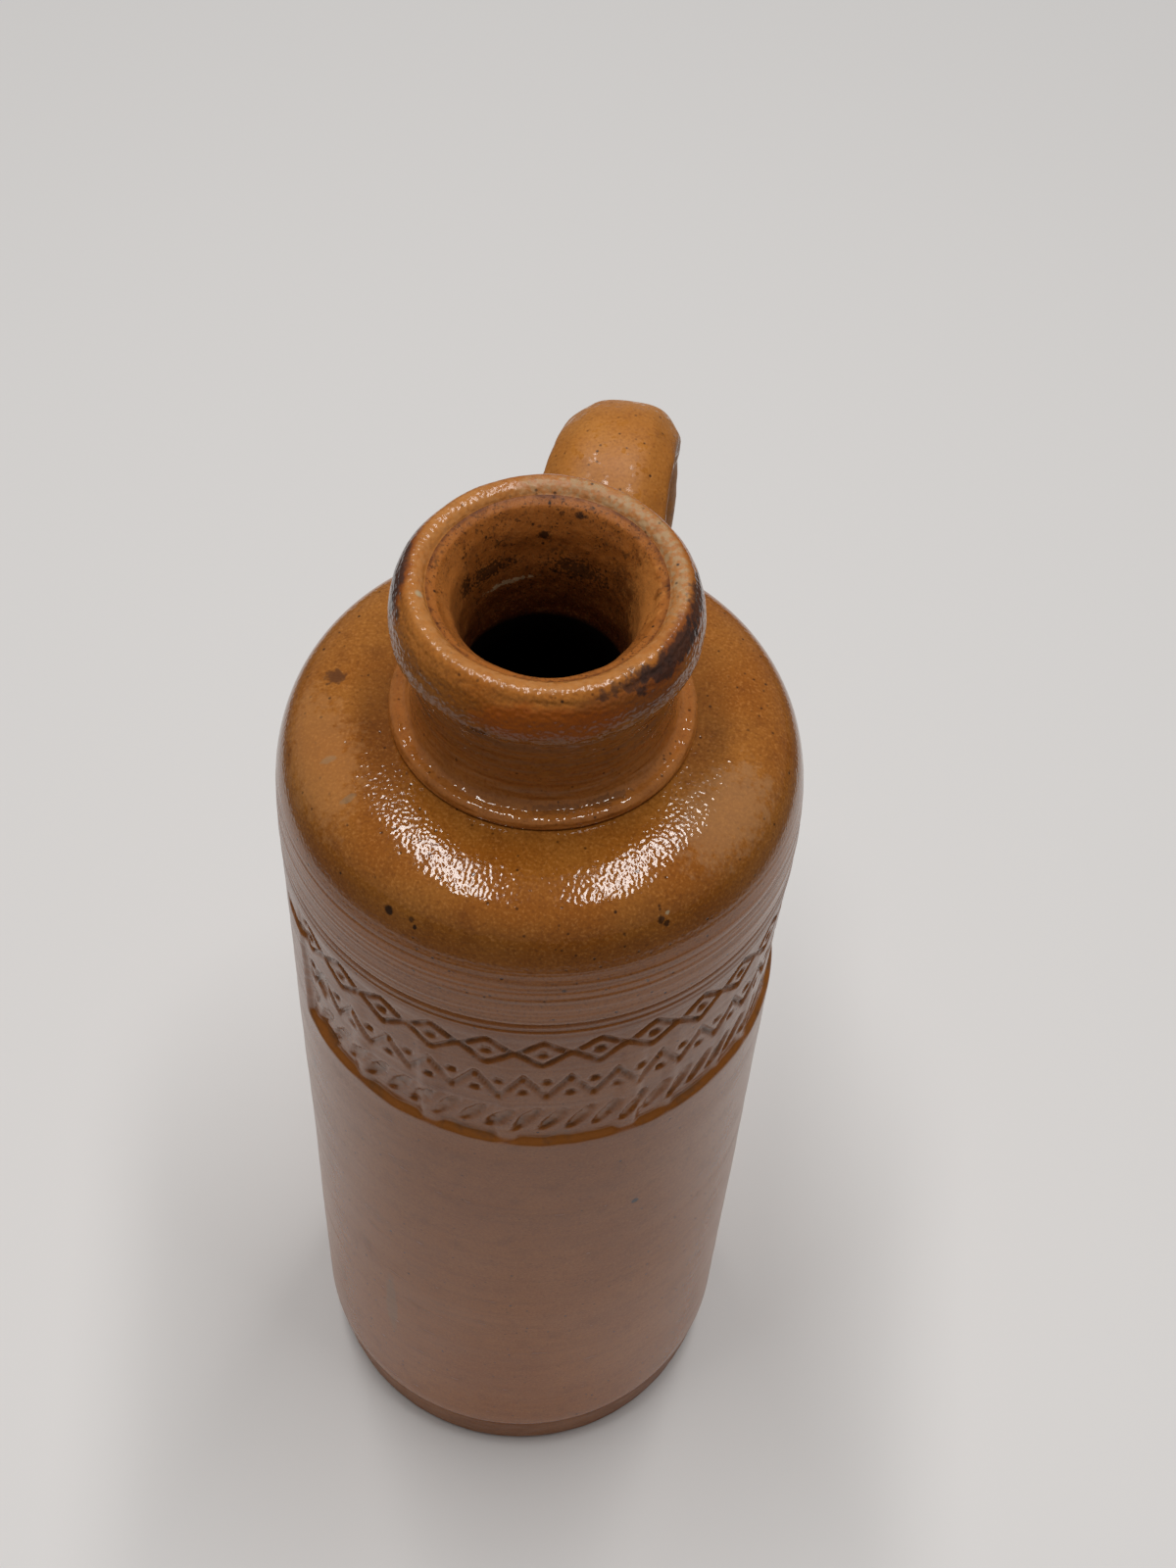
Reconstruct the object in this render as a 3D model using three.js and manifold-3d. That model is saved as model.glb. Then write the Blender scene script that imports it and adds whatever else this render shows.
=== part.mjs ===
// A half-litre salt-glazed stoneware bottle with a strap handle, in millimetres.
// The centre of the underside is the origin, Z points up, and the handle stands on the +Y side.
// The bottle is open at the mouth, and its clay pieces are luted together with slip.

import * as THREE from "three";
import { mergeVertices } from "three/addons/utils/BufferGeometryUtils.js";
import Module from "manifold-3d";

const wasm = await Module();
wasm.setup();

// Body, shoulder, neck and mouth
const BODY_RADIUS = 40;
const WALL_HEIGHT = 155;
const WALL = 7;
const FOOT_HEIGHT = 11;
const FOOT_INSET = 1.6;
const FOOT_ROUND = 1.2;
const FLOOR = 9;
const FLOOR_COVE = 9;
const SHOULDER_RISE = 23.7;
const SHOULDER_CROWN = 13.6;
const SHOULDER_FALL = 0.7;
const SHOULDER_CORNER = 22;
const SHOULDER_WALL = 6.5;
const CORDON_RADIUS = 22.9;
const CORDON_HEIGHT = 1.9;
const NECK_RADIUS = 18.9;
const NECK_FLARE = 1.3;
const NECK_HEIGHT = 17.8;
const NECK_TAIL = 18;
const THROAT_RADIUS = 11.7;
const THROAT_DROP = 10.5;
const TAIL_EDGE = 2.2;
const LIP_HEIGHT = 11;
const LIP_BULGE = 3.1;
const LIP_BELLY = 3.2;
const LIP_SLOPE = 3;
const LIP_CROWN = 1.9;
const RIM_LAND = 1.4;
const RIM_RADIUS = 17.1;
const MOUTH_STEP = 1.2;
const MOUTH_LEDGE = 1.7;
const LEDGE_FALL = 0.7;

// Laps and slip joints between the pieces
const SLIP = 0.3;
const LAP_HEIGHT = 3;
const LAP_WIDTH = 3.4;
const NECK_LAP = 3.2;
const LINE_DEPTH = 0.4;
const FINE_LINE_DEPTH = 0.25;
const FINE_LINE_DROP = 1.7;

// Impressed panel round the front of the wall
const PANEL_DEPTH = 1;
const PANEL_FADE = 0.15;
const PANEL_RAMP = 1.5;
const PANEL_HEIGHT = 32.5;
const PANEL_DROP = 3.8;
const PANEL_SPAN = 156;
const PANEL_TURN = -64.8;

// Strap handle and the soft clay round its roots
const STRAP_WIDTH = 16.6;
const STRAP_THICKNESS = 10;
const LOOP_RISE = 14.4;
const LOOP_REACH = 20.2;
const LOOP_DROP = 6.7;
const UPPER_STANDOFF = 8.7;
const LOWER_REACH = 12;
const LOWER_RISE = 6;
const ROOT_DROP = 34;
const ROOT_BURY = 6;
const ROOT_FLARE = 3.6;
const LUTING_SPREAD = 3;
const LUTING_HEIGHT = 4.5;
const UPPER_SINK = 1.4;
const LOWER_LIFT = 2.4;
const LOWER_LEAN = 66;

// Roundness of the turned and bent pieces
const SIDES = 64;
const CURVE_STEPS = 5;
const STRAP_STEPS = 22;
const STRAP_SIDES = 10;

// Handle length of a curve that stands for a quarter circle of radius one
const ROUND = (4 * (Math.SQRT2 - 1)) / 3;

const wallTop = FOOT_HEIGHT + WALL_HEIGHT;
const shoulderTop = wallTop + SHOULDER_RISE;
const neckTop = shoulderTop + NECK_HEIGHT;
const mouthTop = neckTop + LIP_HEIGHT;
const boreRadius = BODY_RADIUS - WALL;
const lapRadius = BODY_RADIUS - LAP_WIDTH;
const domeTop = shoulderTop - SHOULDER_WALL;
const throatTop = neckTop - THROAT_DROP;
const neckLapRadius = NECK_RADIUS - NECK_LAP;
const loopInner = CORDON_RADIUS + UPPER_STANDOFF;
const loopOuter = BODY_RADIUS + LOOP_REACH;
const loopMiddle = (loopInner + loopOuter) / 2;
const loopSpan = (loopOuter - loopInner) / 2;

// A path in the plane of radius and height, starting at one point
function outline(radius, height) {
  const path = new THREE.Path();
  path.moveTo(radius, height);
  return path;
}

// A solid turned about the Z axis from a profile of radius and height
function turned(profile) {
  const geometry = new THREE.LatheGeometry(profile.getPoints(CURVE_STEPS), SIDES);
  geometry.rotateX(Math.PI / 2);
  return geometry;
}

// A closed body for cutting and joining
function solid(geometry) {
  const bare = geometry.clone();
  bare.deleteAttribute("normal");
  bare.deleteAttribute("uv");
  const merged = mergeVertices(bare, 1e-4);
  return new wasm.Manifold(new wasm.Mesh({
    numProp: 3,
    vertProperties: new Float32Array(merged.attributes.position.array),
    triVerts: new Uint32Array(merged.index.array),
  }));
}

// A geometry with normals from a cut body
function shapeOf(body) {
  const mesh = body.getMesh();
  const geometry = new THREE.BufferGeometry();
  geometry.setAttribute("position", new THREE.BufferAttribute(new Float32Array(mesh.vertProperties), 3));
  geometry.setIndex(new THREE.BufferAttribute(new Uint32Array(mesh.triVerts), 1));
  geometry.computeVertexNormals();
  return geometry;
}

// Base disc with a chamfered foot and a curb that enters the tube
function baseDisc() {
  const foot = BODY_RADIUS - FOOT_INSET;
  const path = outline(0, 0);
  path.lineTo(foot - FOOT_ROUND, 0);
  path.quadraticCurveTo(foot, 0, foot, FOOT_ROUND);
  path.lineTo(BODY_RADIUS - LINE_DEPTH, FOOT_HEIGHT);
  path.lineTo(lapRadius, FOOT_HEIGHT);
  path.lineTo(lapRadius, FOOT_HEIGHT + LAP_HEIGHT);
  path.lineTo(boreRadius, FOOT_HEIGHT + LAP_HEIGHT);
  path.quadraticCurveTo(boreRadius, FLOOR, boreRadius - FLOOR_COVE, FLOOR);
  path.lineTo(0, FLOOR);
  return turned(path);
}

// Wedge round the front that leaves the panel, deepest along its foot
function panelWedge() {
  const low = wallTop - PANEL_DROP - PANEL_HEIGHT;
  const high = wallTop - PANEL_DROP;
  const path = outline(BODY_RADIUS + PANEL_DEPTH, low);
  path.lineTo(BODY_RADIUS + PANEL_DEPTH, high);
  path.lineTo(BODY_RADIUS - PANEL_FADE, high);
  path.lineTo(BODY_RADIUS - PANEL_DEPTH, low + PANEL_RAMP);
  path.lineTo(BODY_RADIUS, low);
  path.closePath();
  const half = THREE.MathUtils.degToRad(PANEL_SPAN / 2);
  const turn = THREE.MathUtils.degToRad(PANEL_TURN);
  const sector = new THREE.Shape();
  sector.absarc(0, 0, BODY_RADIUS * 2, turn - half, turn + half, false);
  sector.lineTo(0, 0);
  sector.closePath();
  const slice = new THREE.ExtrudeGeometry(sector, { depth: mouthTop, bevelEnabled: false });
  return solid(turned(path)).intersect(solid(slice));
}

// Body tube with two turned lines at its top and the impressed panel
function bodyTube() {
  const line = wallTop - FINE_LINE_DROP;
  const path = outline(lapRadius + SLIP, FOOT_HEIGHT + SLIP);
  path.lineTo(BODY_RADIUS - LINE_DEPTH, FOOT_HEIGHT + SLIP);
  path.lineTo(BODY_RADIUS, FOOT_HEIGHT + SLIP + LINE_DEPTH);
  path.lineTo(BODY_RADIUS, line - FINE_LINE_DEPTH);
  path.lineTo(BODY_RADIUS - FINE_LINE_DEPTH, line);
  path.lineTo(BODY_RADIUS, line + FINE_LINE_DEPTH);
  path.lineTo(BODY_RADIUS, wallTop - LINE_DEPTH);
  path.lineTo(BODY_RADIUS - LINE_DEPTH, wallTop);
  path.lineTo(lapRadius, wallTop);
  path.lineTo(lapRadius, wallTop + LAP_HEIGHT);
  path.lineTo(boreRadius, wallTop + LAP_HEIGHT);
  path.lineTo(boreRadius, FOOT_HEIGHT + LAP_HEIGHT + SLIP);
  path.lineTo(lapRadius + SLIP, FOOT_HEIGHT + LAP_HEIGHT + SLIP);
  path.closePath();
  return shapeOf(solid(turned(path)).subtract(panelWedge()));
}

// Outside of the shoulder, from the wall to the seat of the cordon
function shoulderCurve(path, radius, base, top, edge) {
  path.bezierCurveTo(
    radius, base + SHOULDER_CORNER,
    edge + SHOULDER_CROWN, top - SHOULDER_FALL,
    edge, top,
  );
}

// Shoulder dome with a hole for the neck's tail
function shoulderDome() {
  const low = wallTop + SLIP;
  const path = outline(lapRadius + SLIP, low);
  path.lineTo(BODY_RADIUS - LINE_DEPTH, low);
  path.lineTo(BODY_RADIUS, low + LINE_DEPTH);
  shoulderCurve(path, BODY_RADIUS, low + LINE_DEPTH, shoulderTop, CORDON_RADIUS);
  path.lineTo(NECK_TAIL + SLIP, shoulderTop);
  path.lineTo(NECK_TAIL + SLIP, domeTop);
  path.bezierCurveTo(
    NECK_TAIL + SHOULDER_CROWN, domeTop,
    boreRadius, domeTop,
    boreRadius, low + LAP_HEIGHT,
  );
  path.lineTo(lapRadius + SLIP, low + LAP_HEIGHT);
  path.closePath();
  return turned(path);
}

// Neck with a raised cordon, a tail through the shoulder and a lap for the lip
function neckCollar() {
  const seat = shoulderTop + SLIP;
  const crown = seat + CORDON_HEIGHT;
  const foot = NECK_RADIUS + NECK_FLARE;
  const path = outline(NECK_TAIL, domeTop);
  path.lineTo(NECK_TAIL, seat);
  path.lineTo(CORDON_RADIUS - LINE_DEPTH, seat);
  path.quadraticCurveTo(CORDON_RADIUS, crown, foot + LINE_DEPTH, crown);
  path.quadraticCurveTo(NECK_RADIUS, crown + LINE_DEPTH, NECK_RADIUS, crown + NECK_HEIGHT / 2);
  path.lineTo(NECK_RADIUS, neckTop);
  path.lineTo(neckLapRadius, neckTop);
  path.lineTo(neckLapRadius, neckTop + LAP_HEIGHT);
  path.lineTo(THROAT_RADIUS + MOUTH_STEP, neckTop + LAP_HEIGHT);
  path.quadraticCurveTo(THROAT_RADIUS, neckTop - LAP_HEIGHT, THROAT_RADIUS, throatTop);
  path.quadraticCurveTo(THROAT_RADIUS, domeTop + SHOULDER_WALL, NECK_TAIL - TAIL_EDGE, domeTop);
  path.closePath();
  return turned(path);
}

// Lip ring with a flat land on its crest and a stepped, bell-shaped mouth
function mouthRing() {
  const low = neckTop + SLIP;
  const belly = NECK_RADIUS + LIP_BULGE;
  const land = RIM_RADIUS + RIM_LAND;
  const ledge = mouthTop - MOUTH_STEP;
  const path = outline(neckLapRadius + SLIP, low);
  path.lineTo(NECK_RADIUS + LINE_DEPTH, low);
  path.quadraticCurveTo(belly, low, belly, low + LIP_BELLY);
  path.bezierCurveTo(belly, low + LIP_BELLY + LIP_SLOPE, land + LIP_CROWN, mouthTop, land, mouthTop);
  path.lineTo(RIM_RADIUS, mouthTop);
  path.lineTo(RIM_RADIUS - MOUTH_LEDGE / 4, ledge);
  path.lineTo(RIM_RADIUS - MOUTH_LEDGE, ledge - LEDGE_FALL);
  path.quadraticCurveTo(
    RIM_RADIUS - MOUTH_LEDGE * 2, low + LAP_HEIGHT + MOUTH_STEP,
    THROAT_RADIUS + MOUTH_STEP, low + LAP_HEIGHT,
  );
  path.lineTo(neckLapRadius + SLIP, low + LAP_HEIGHT);
  path.closePath();
  return turned(path);
}

// Filled outside of the tube and the shoulder, grown by the slip film, for seating the handle
function seatBody() {
  const wall = BODY_RADIUS + SLIP;
  const path = outline(0, FOOT_HEIGHT);
  path.lineTo(wall, FOOT_HEIGHT);
  path.lineTo(wall, wallTop + SLIP + LINE_DEPTH);
  shoulderCurve(path, wall, wallTop + SLIP + LINE_DEPTH, shoulderTop + SLIP, CORDON_RADIUS);
  path.lineTo(0, shoulderTop + SLIP);
  return solid(turned(path));
}

// Centreline of the strap, from inside the shoulder over the loop and into the wall
function strapPath() {
  const height = shoulderTop - LOOP_DROP;
  const crest = height + LOOP_RISE;
  const low = height - ROOT_DROP;
  const across = loopSpan * ROUND;
  const up = LOOP_RISE * ROUND;
  const at = (y, z) => new THREE.Vector3(0, y, z);
  const path = new THREE.CurvePath();
  path.add(new THREE.LineCurve3(at(loopInner, height - ROOT_BURY), at(loopInner, height)));
  path.add(new THREE.CubicBezierCurve3(
    at(loopInner, height),
    at(loopInner, height + up),
    at(loopMiddle - across, crest),
    at(loopMiddle, crest),
  ));
  path.add(new THREE.CubicBezierCurve3(
    at(loopMiddle, crest),
    at(loopMiddle + across, crest),
    at(loopOuter, height + up),
    at(loopOuter, height),
  ));
  path.add(new THREE.CubicBezierCurve3(
    at(loopOuter, height),
    at(loopOuter, height - ROOT_DROP / 2),
    at(BODY_RADIUS + LOWER_REACH, low + LOWER_RISE),
    at(BODY_RADIUS - ROOT_BURY, low),
  ));
  return path;
}

// Strap of oval section along its centreline, wider at both roots
function strapSolid(grow) {
  const oval = new THREE.Shape();
  oval.absellipse(0, 0, STRAP_THICKNESS / 2 + grow, STRAP_WIDTH / 2 + grow, 0, Math.PI * 2, false, 0);
  const geometry = new THREE.ExtrudeGeometry(oval, {
    steps: STRAP_STEPS,
    curveSegments: STRAP_SIDES,
    extrudePath: strapPath(),
  });
  const spots = geometry.attributes.position;
  for (let i = 0; i < spots.count; i += 1) {
    const nearness = Math.max(0, (loopOuter - spots.getY(i)) / LOOP_REACH);
    spots.setX(i, spots.getX(i) * (1 + (ROOT_FLARE / STRAP_WIDTH) * nearness));
  }
  return solid(geometry);
}

// Mound of soft clay round one root, opened for the strap and seated on the body
function luting(across, up, lean) {
  const mound = new THREE.SphereGeometry(1, 20, 12);
  mound.scale(
    (STRAP_WIDTH + ROOT_FLARE) / 2 + LUTING_SPREAD,
    STRAP_THICKNESS / 2 + LUTING_SPREAD,
    LUTING_HEIGHT,
  );
  mound.rotateX(-lean);
  mound.translate(0, across, up);
  return shapeOf(solid(mound).subtract(strapSolid(SLIP)).subtract(seatBody()));
}

// Clay round the upper root, square to the strap where it leaves the shoulder
function upperLuting() {
  const turn = Math.asin((LOOP_DROP - UPPER_SINK) / LOOP_RISE);
  const lean = Math.atan2(loopSpan * Math.sin(turn), LOOP_RISE * Math.cos(turn));
  return luting(loopMiddle - loopSpan * Math.cos(turn), shoulderTop - UPPER_SINK, lean);
}

// Clay round the lower root, square to the strap where it enters the wall
function lowerLuting() {
  const up = shoulderTop - LOOP_DROP - ROOT_DROP + LOWER_LIFT;
  return luting(BODY_RADIUS, up, THREE.MathUtils.degToRad(LOWER_LEAN));
}

// One named piece of glazed clay
function piece(name, geometry, colour) {
  const glaze = new THREE.MeshStandardMaterial({ color: colour, roughness: 0.2, metalness: 0 });
  const mesh = new THREE.Mesh(geometry, glaze);
  mesh.name = name;
  return mesh;
}

const bottle = new THREE.Group();
bottle.name = "stoneware_bottle";
bottle.add(piece("base_disc", baseDisc(), "#8f5526"));
bottle.add(piece("body_tube", bodyTube(), "#a8744f"));
bottle.add(piece("shoulder_dome", shoulderDome(), "#a8692c"));
bottle.add(piece("neck_collar", neckCollar(), "#8c531f"));
bottle.add(piece("mouth_ring", mouthRing(), "#a5622a"));
bottle.add(piece("handle_strap", shapeOf(strapSolid(0).subtract(seatBody())), "#a9672a"));
bottle.add(piece("handle_upper_luting", upperLuting(), "#a06428"));
bottle.add(piece("handle_lower_luting", lowerLuting(), "#a06428"));

export default bottle;
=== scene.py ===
"""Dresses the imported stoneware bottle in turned, salt-glazed clay and sets it in a plain studio."""

import logging
import math
from collections.abc import Sequence
from dataclasses import dataclass
from enum import Enum
from functools import cached_property
from itertools import accumulate
from typing import Any, Optional, Union

import bmesh
import bpy
from mathutils import Matrix, Vector, noise


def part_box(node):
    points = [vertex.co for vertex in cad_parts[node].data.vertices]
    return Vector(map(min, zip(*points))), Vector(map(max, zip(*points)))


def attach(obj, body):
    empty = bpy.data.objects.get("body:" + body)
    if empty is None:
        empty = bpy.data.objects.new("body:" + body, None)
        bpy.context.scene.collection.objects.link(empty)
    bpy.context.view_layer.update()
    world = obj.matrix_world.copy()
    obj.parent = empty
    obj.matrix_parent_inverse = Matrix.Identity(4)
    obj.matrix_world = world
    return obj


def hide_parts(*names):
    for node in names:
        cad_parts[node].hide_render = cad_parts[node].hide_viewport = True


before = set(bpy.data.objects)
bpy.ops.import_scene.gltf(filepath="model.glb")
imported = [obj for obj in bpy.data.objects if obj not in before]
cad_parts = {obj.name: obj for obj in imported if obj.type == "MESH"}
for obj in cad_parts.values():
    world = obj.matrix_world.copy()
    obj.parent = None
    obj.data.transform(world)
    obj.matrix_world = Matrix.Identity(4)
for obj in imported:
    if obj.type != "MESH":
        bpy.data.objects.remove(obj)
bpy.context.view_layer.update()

LOG = logging.getLogger("bottle")

Colour = tuple[float, float, float]
Number = Union[float, "Wire"]

MM = 0.001
# The camera stands this far round from -Y towards +X.
FRONT = math.radians(12.0)
AHEAD = Vector((math.sin(FRONT), -math.cos(FRONT), 0.0))
# Edges that bend more than this are shaded as corners.
CRISP_ANGLE = math.radians(48)
# Points nearer to the axis than this, in millimetres, stay where they are.
POLE = 1.0
# Arm of a Bezier curve that makes a quarter circle of radius 1.
QUARTER_ARM = 0.5523

BLACK: Colour = (0.0, 0.0, 0.0)
# Near black: painted shade for the deep inside, where no light reaches.
UNLIT: Colour = (0.004, 0.002, 0.001)
DARK_IRON: Colour = (0.012, 0.005, 0.003)
# Raw clay of the inside, darkened to near black as painted shade.
RAW_CLAY_AND_SHADE: Colour = (0.02, 0.008, 0.004)
BLUE_BLACK: Colour = (0.02, 0.02, 0.03)
SCORCH: Colour = (0.046, 0.023, 0.018)
CHAR: Colour = (0.06, 0.018, 0.010)
BURNT: Colour = (0.10, 0.035, 0.012)
CORNER_DARK: Colour = (0.10, 0.045, 0.020)
RUST: Colour = (0.20, 0.045, 0.008)
FLASHED: Colour = (0.38, 0.085, 0.006)
ASH: Colour = (0.20, 0.17, 0.11)
WORN: Colour = (0.37, 0.265, 0.145)
CHIP: Colour = (0.42, 0.33, 0.20)
HAZE: Colour = (0.38, 0.200, 0.090)
PALE_HAZE: Colour = (0.46, 0.21, 0.07)
# Pale rubbed glaze; along the lip's crest it is partly painted highlight.
RUBBED: Colour = (0.50, 0.235, 0.080)
# Pale colours for the mouth's inner walls: painted light where the lamps shine in.
PAINTED_BORE_LIGHT: Colour = (0.60, 0.23, 0.050)
PAINTED_DIM_BORE_LIGHT: Colour = (0.52, 0.19, 0.040)


class Clay(Enum):
    """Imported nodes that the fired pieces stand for."""

    BASE = "base_disc"
    TUBE = "body_tube"
    DOME = "shoulder_dome"
    NECK = "neck_collar"
    LIP = "mouth_ring"
    STRAP = "handle_strap"
    UPPER = "handle_upper_luting"
    LOWER = "handle_lower_luting"

    def corners(self) -> tuple[Vector, Vector]:
        """Gives the node's lowest and highest corners in millimetres."""
        low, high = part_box(self.value)
        return Vector(low) / MM, Vector(high) / MM


class Slot(Enum):
    """Material slots of the record."""

    FOOT = "foot_glaze"
    WALL = "wall_glaze"
    SHOULDER = "shoulder_glaze"
    NECK = "neck_glaze"
    LIP = "lip_glaze"
    HANDLE = "handle_glaze"


@dataclass(frozen=True)
class Levels:
    """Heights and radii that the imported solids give, and sizes that pieces share, in millimetres."""

    body: float
    foot: float
    curb: float
    seam: float
    lap: float
    crown: float
    tail: float
    crease: float
    top: float
    cordon: float
    lip: float
    slip: float = 0.3
    wall: float = 7.0
    wall_lap: float = 3.4
    line: float = 0.15
    seat: float = 22.9
    neck: float = 18.9
    neck_lap: float = 3.2
    lap_height: float = 3.0
    mouth: float = 12.9
    rim: float = 16.7
    lean: float = 0.7
    shift: float = 0.7

    @classmethod
    def measured(cls) -> "Levels":
        """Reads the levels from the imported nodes, with each joint in the middle of its slip film.

        Returns:
            The levels.
        """
        film = cls.slip / 2
        base_high = Clay.BASE.corners()[1]
        tube_low, tube_high = Clay.TUBE.corners()
        dome_low, dome_high = Clay.DOME.corners()
        neck_low, neck_high = Clay.NECK.corners()
        lip_low, lip_high = Clay.LIP.corners()
        return cls(
            body=tube_high.x, foot=tube_low.z - film, curb=base_high.z, seam=dome_low.z - film,
            lap=tube_high.z, crown=dome_high.z, tail=neck_low.z, crease=lip_low.z - film,
            top=lip_high.z, cordon=neck_high.x, lip=lip_high.x)


class Wire:
    """One value in a shader, whose arithmetic adds Math nodes."""

    def __init__(self, graph: "Graph", socket: bpy.types.NodeSocket) -> None:
        """Holds a socket and the graph that it belongs to."""
        self.graph = graph
        self.socket = socket

    def __add__(self, other: Number) -> "Wire":
        """Adds a value."""
        return self.graph.math("ADD", self, other)

    def __sub__(self, other: Number) -> "Wire":
        """Takes a value away."""
        return self.graph.math("SUBTRACT", self, other)

    def __rsub__(self, other: Number) -> "Wire":
        """Takes this from a value."""
        return self.graph.math("SUBTRACT", other, self)

    def __mul__(self, other: Number) -> "Wire":
        """Multiplies by a value."""
        return self.graph.math("MULTIPLY", self, other)

    __radd__ = __add__
    __rmul__ = __mul__

    def least(self, other: Number) -> "Wire":
        """Gives the smaller of this and a value."""
        return self.graph.math("MINIMUM", self, other)

    def most(self, other: Number) -> "Wire":
        """Gives the larger of this and a value."""
        return self.graph.math("MAXIMUM", self, other)

    def step(self, low: float, high: float) -> "Wire":
        """Rises smoothly from 0 at low to 1 at high, or falls where low is above high.

        Args:
            low: value that gives 0.
            high: value that gives 1.

        Returns:
            The mask.
        """
        falls = low > high
        sockets = {"Value": self, "From Min": min(low, high), "From Max": max(low, high),
                   "To Min": float(falls), "To Max": float(not falls)}
        return self.graph.value("ShaderNodeMapRange", "Result", sockets, interpolation_type="SMOOTHSTEP")


class Graph:
    """The shader of a material or of the world, under construction."""

    def __init__(self, owner: Union[bpy.types.Material, bpy.types.World]) -> None:
        """Starts with no nodes.

        Args:
            owner: what the shader belongs to.
        """
        self.owner = owner
        owner.use_nodes = True
        self.tree = owner.node_tree
        self.tree.nodes.clear()

    def node(self, kind: str, sockets: dict[Any, Any], **settings: Any) -> bpy.types.Node:
        """Adds a node with its settings, then its values and links.

        Args:
            kind: Blender's type of the node.
            sockets: values or wires by socket name, identifier or number.
            settings: properties to set first.

        Returns:
            The node.
        """
        made = self.tree.nodes.new(kind)
        for key, value in settings.items():
            setattr(made, key, value)
        for key, value in sockets.items():
            named = (s for s in made.inputs if key in (s.identifier, s.name))
            socket = made.inputs[key] if isinstance(key, int) else next(named)
            if isinstance(value, Wire):
                self.tree.links.new(value.socket, socket)
            elif socket.type == "RGBA":
                socket.default_value = (*value, 1.0)
            else:
                socket.default_value = value
        return made

    def value(self, kind: str, output: str, sockets: dict[Any, Any], **settings: Any) -> Wire:
        """Adds a node and gives one of its outputs, found by name or identifier, as a wire."""
        made = self.node(kind, sockets, **settings)
        return Wire(self, next(s for s in made.outputs if output in (s.identifier, s.name)))

    def math(self, operation: str, *values: Number) -> Wire:
        """Adds a Math node on some values."""
        return self.value("ShaderNodeMath", "Value", dict(enumerate(values)), operation=operation)

    def lay(self, mask: Number, under: Union[Wire, Colour], over: Union[Wire, Colour]) -> Wire:
        """Lays one colour over another through a mask."""
        sockets = {"Factor_Float": mask, "A_Color": under, "B_Color": over}
        return self.value("ShaderNodeMix", "Result_Color", sockets, data_type="RGBA")

    @cached_property
    def spot(self) -> Wire:
        """Gives the place on the object in millimetres.

        Returns:
            The place.
        """
        place = self.value("ShaderNodeTexCoord", "Object", {})
        sockets = {"Vector": place, "Scale": 1 / MM}
        return self.value("ShaderNodeVectorMath", "Vector", sockets, operation="SCALE")

    def moved(self, kind: str, sockets: dict[str, Any]) -> Wire:
        """Moves, turns and scales the place, as a POINT or the other way as a TEXTURE."""
        return self.value("ShaderNodeMapping", "Vector", {"Vector": self.spot} | sockets, vector_type=kind)

    def stretched(self, across: float, up: float) -> Wire:
        """Gives the place scaled across the axis and along it."""
        return self.moved("POINT", {"Scale": (across, across, up)})

    def part(self, axis: str, vector: Wire) -> Wire:
        """Gives a vector's part along one axis."""
        return self.value("ShaderNodeSeparateXYZ", axis, {"Vector": vector})

    def length(self, vector: Wire) -> Wire:
        """Gives the length of a vector."""
        return self.value("ShaderNodeVectorMath", "Value", {"Vector": vector}, operation="LENGTH")

    def height(self) -> Wire:
        """Gives the height above the table in millimetres."""
        return self.part("Z", self.spot)

    def radius(self, about: Vector = Vector((0.0, 0.0, 0.0))) -> Wire:
        """Gives the distance from the axis, or from another upright line, in millimetres."""
        return self.length(self.moved("POINT", {"Location": -about, "Scale": (1.0, 1.0, 0.0)}))

    def along(self, way: Vector) -> Wire:
        """Gives the distance from the axis in one direction, in millimetres."""
        return self.value("ShaderNodeVectorMath", "Value", {0: self.spot, 1: way}, operation="DOT_PRODUCT")

    def cloud(self, grain: float, detail: float = 2.0, where: Optional[Wire] = None) -> Wire:
        """Adds soft noise about 0.5, with patches of a size in millimetres and octaves of detail."""
        sockets = {"Vector": where or self.spot, "Scale": 1 / grain, "Detail": detail, "Roughness": 0.55}
        return self.value("ShaderNodeTexNoise", "Fac", sockets, noise_dimensions="3D")

    def specks(self, grain: float, low: float, high: float, share: float) -> Wire:
        """Adds scattered round specks.

        Args:
            grain: size of the cell that may hold one, in millimetres.
            low: radius up to which a speck is full.
            high: radius at which it has faded out.
            share: share of the cells that hold one.

        Returns:
            A mask.
        """
        cell = self.node("ShaderNodeTexVoronoi", {"Vector": self.spot, "Scale": 1 / grain}, feature="F1")
        chance = self.part("X", Wire(self, cell.outputs["Color"]))
        near = Wire(self, cell.outputs["Distance"]) * grain
        return near.step(high, low) * chance.step(share, share * 0.6)

    def finish(self, colour: Wire, rough: Number, relief: Wire, index: float = 1.5,
               glow: Optional[Wire] = None) -> bpy.types.Material:
        """Closes the material with a glossy surface.

        Args:
            colour: base colour.
            rough: roughness.
            relief: height of the fine relief in millimetres.
            index: refractive index of its skin.
            glow: colour that it sends out, or None.

        Returns:
            The material.
        """
        bump = self.value("ShaderNodeBump", "Normal", {"Height": relief, "Strength": 1.0, "Distance": MM})
        sockets = {"Base Color": colour, "Roughness": rough, "IOR": index, "Normal": bump}
        if glow:
            sockets |= {"Emission Color": glow, "Emission Strength": 1.0}
        surface = self.value("ShaderNodeBsdfPrincipled", "BSDF", sockets)
        self.node("ShaderNodeOutputMaterial", {"Surface": surface})
        return self.owner


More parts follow.
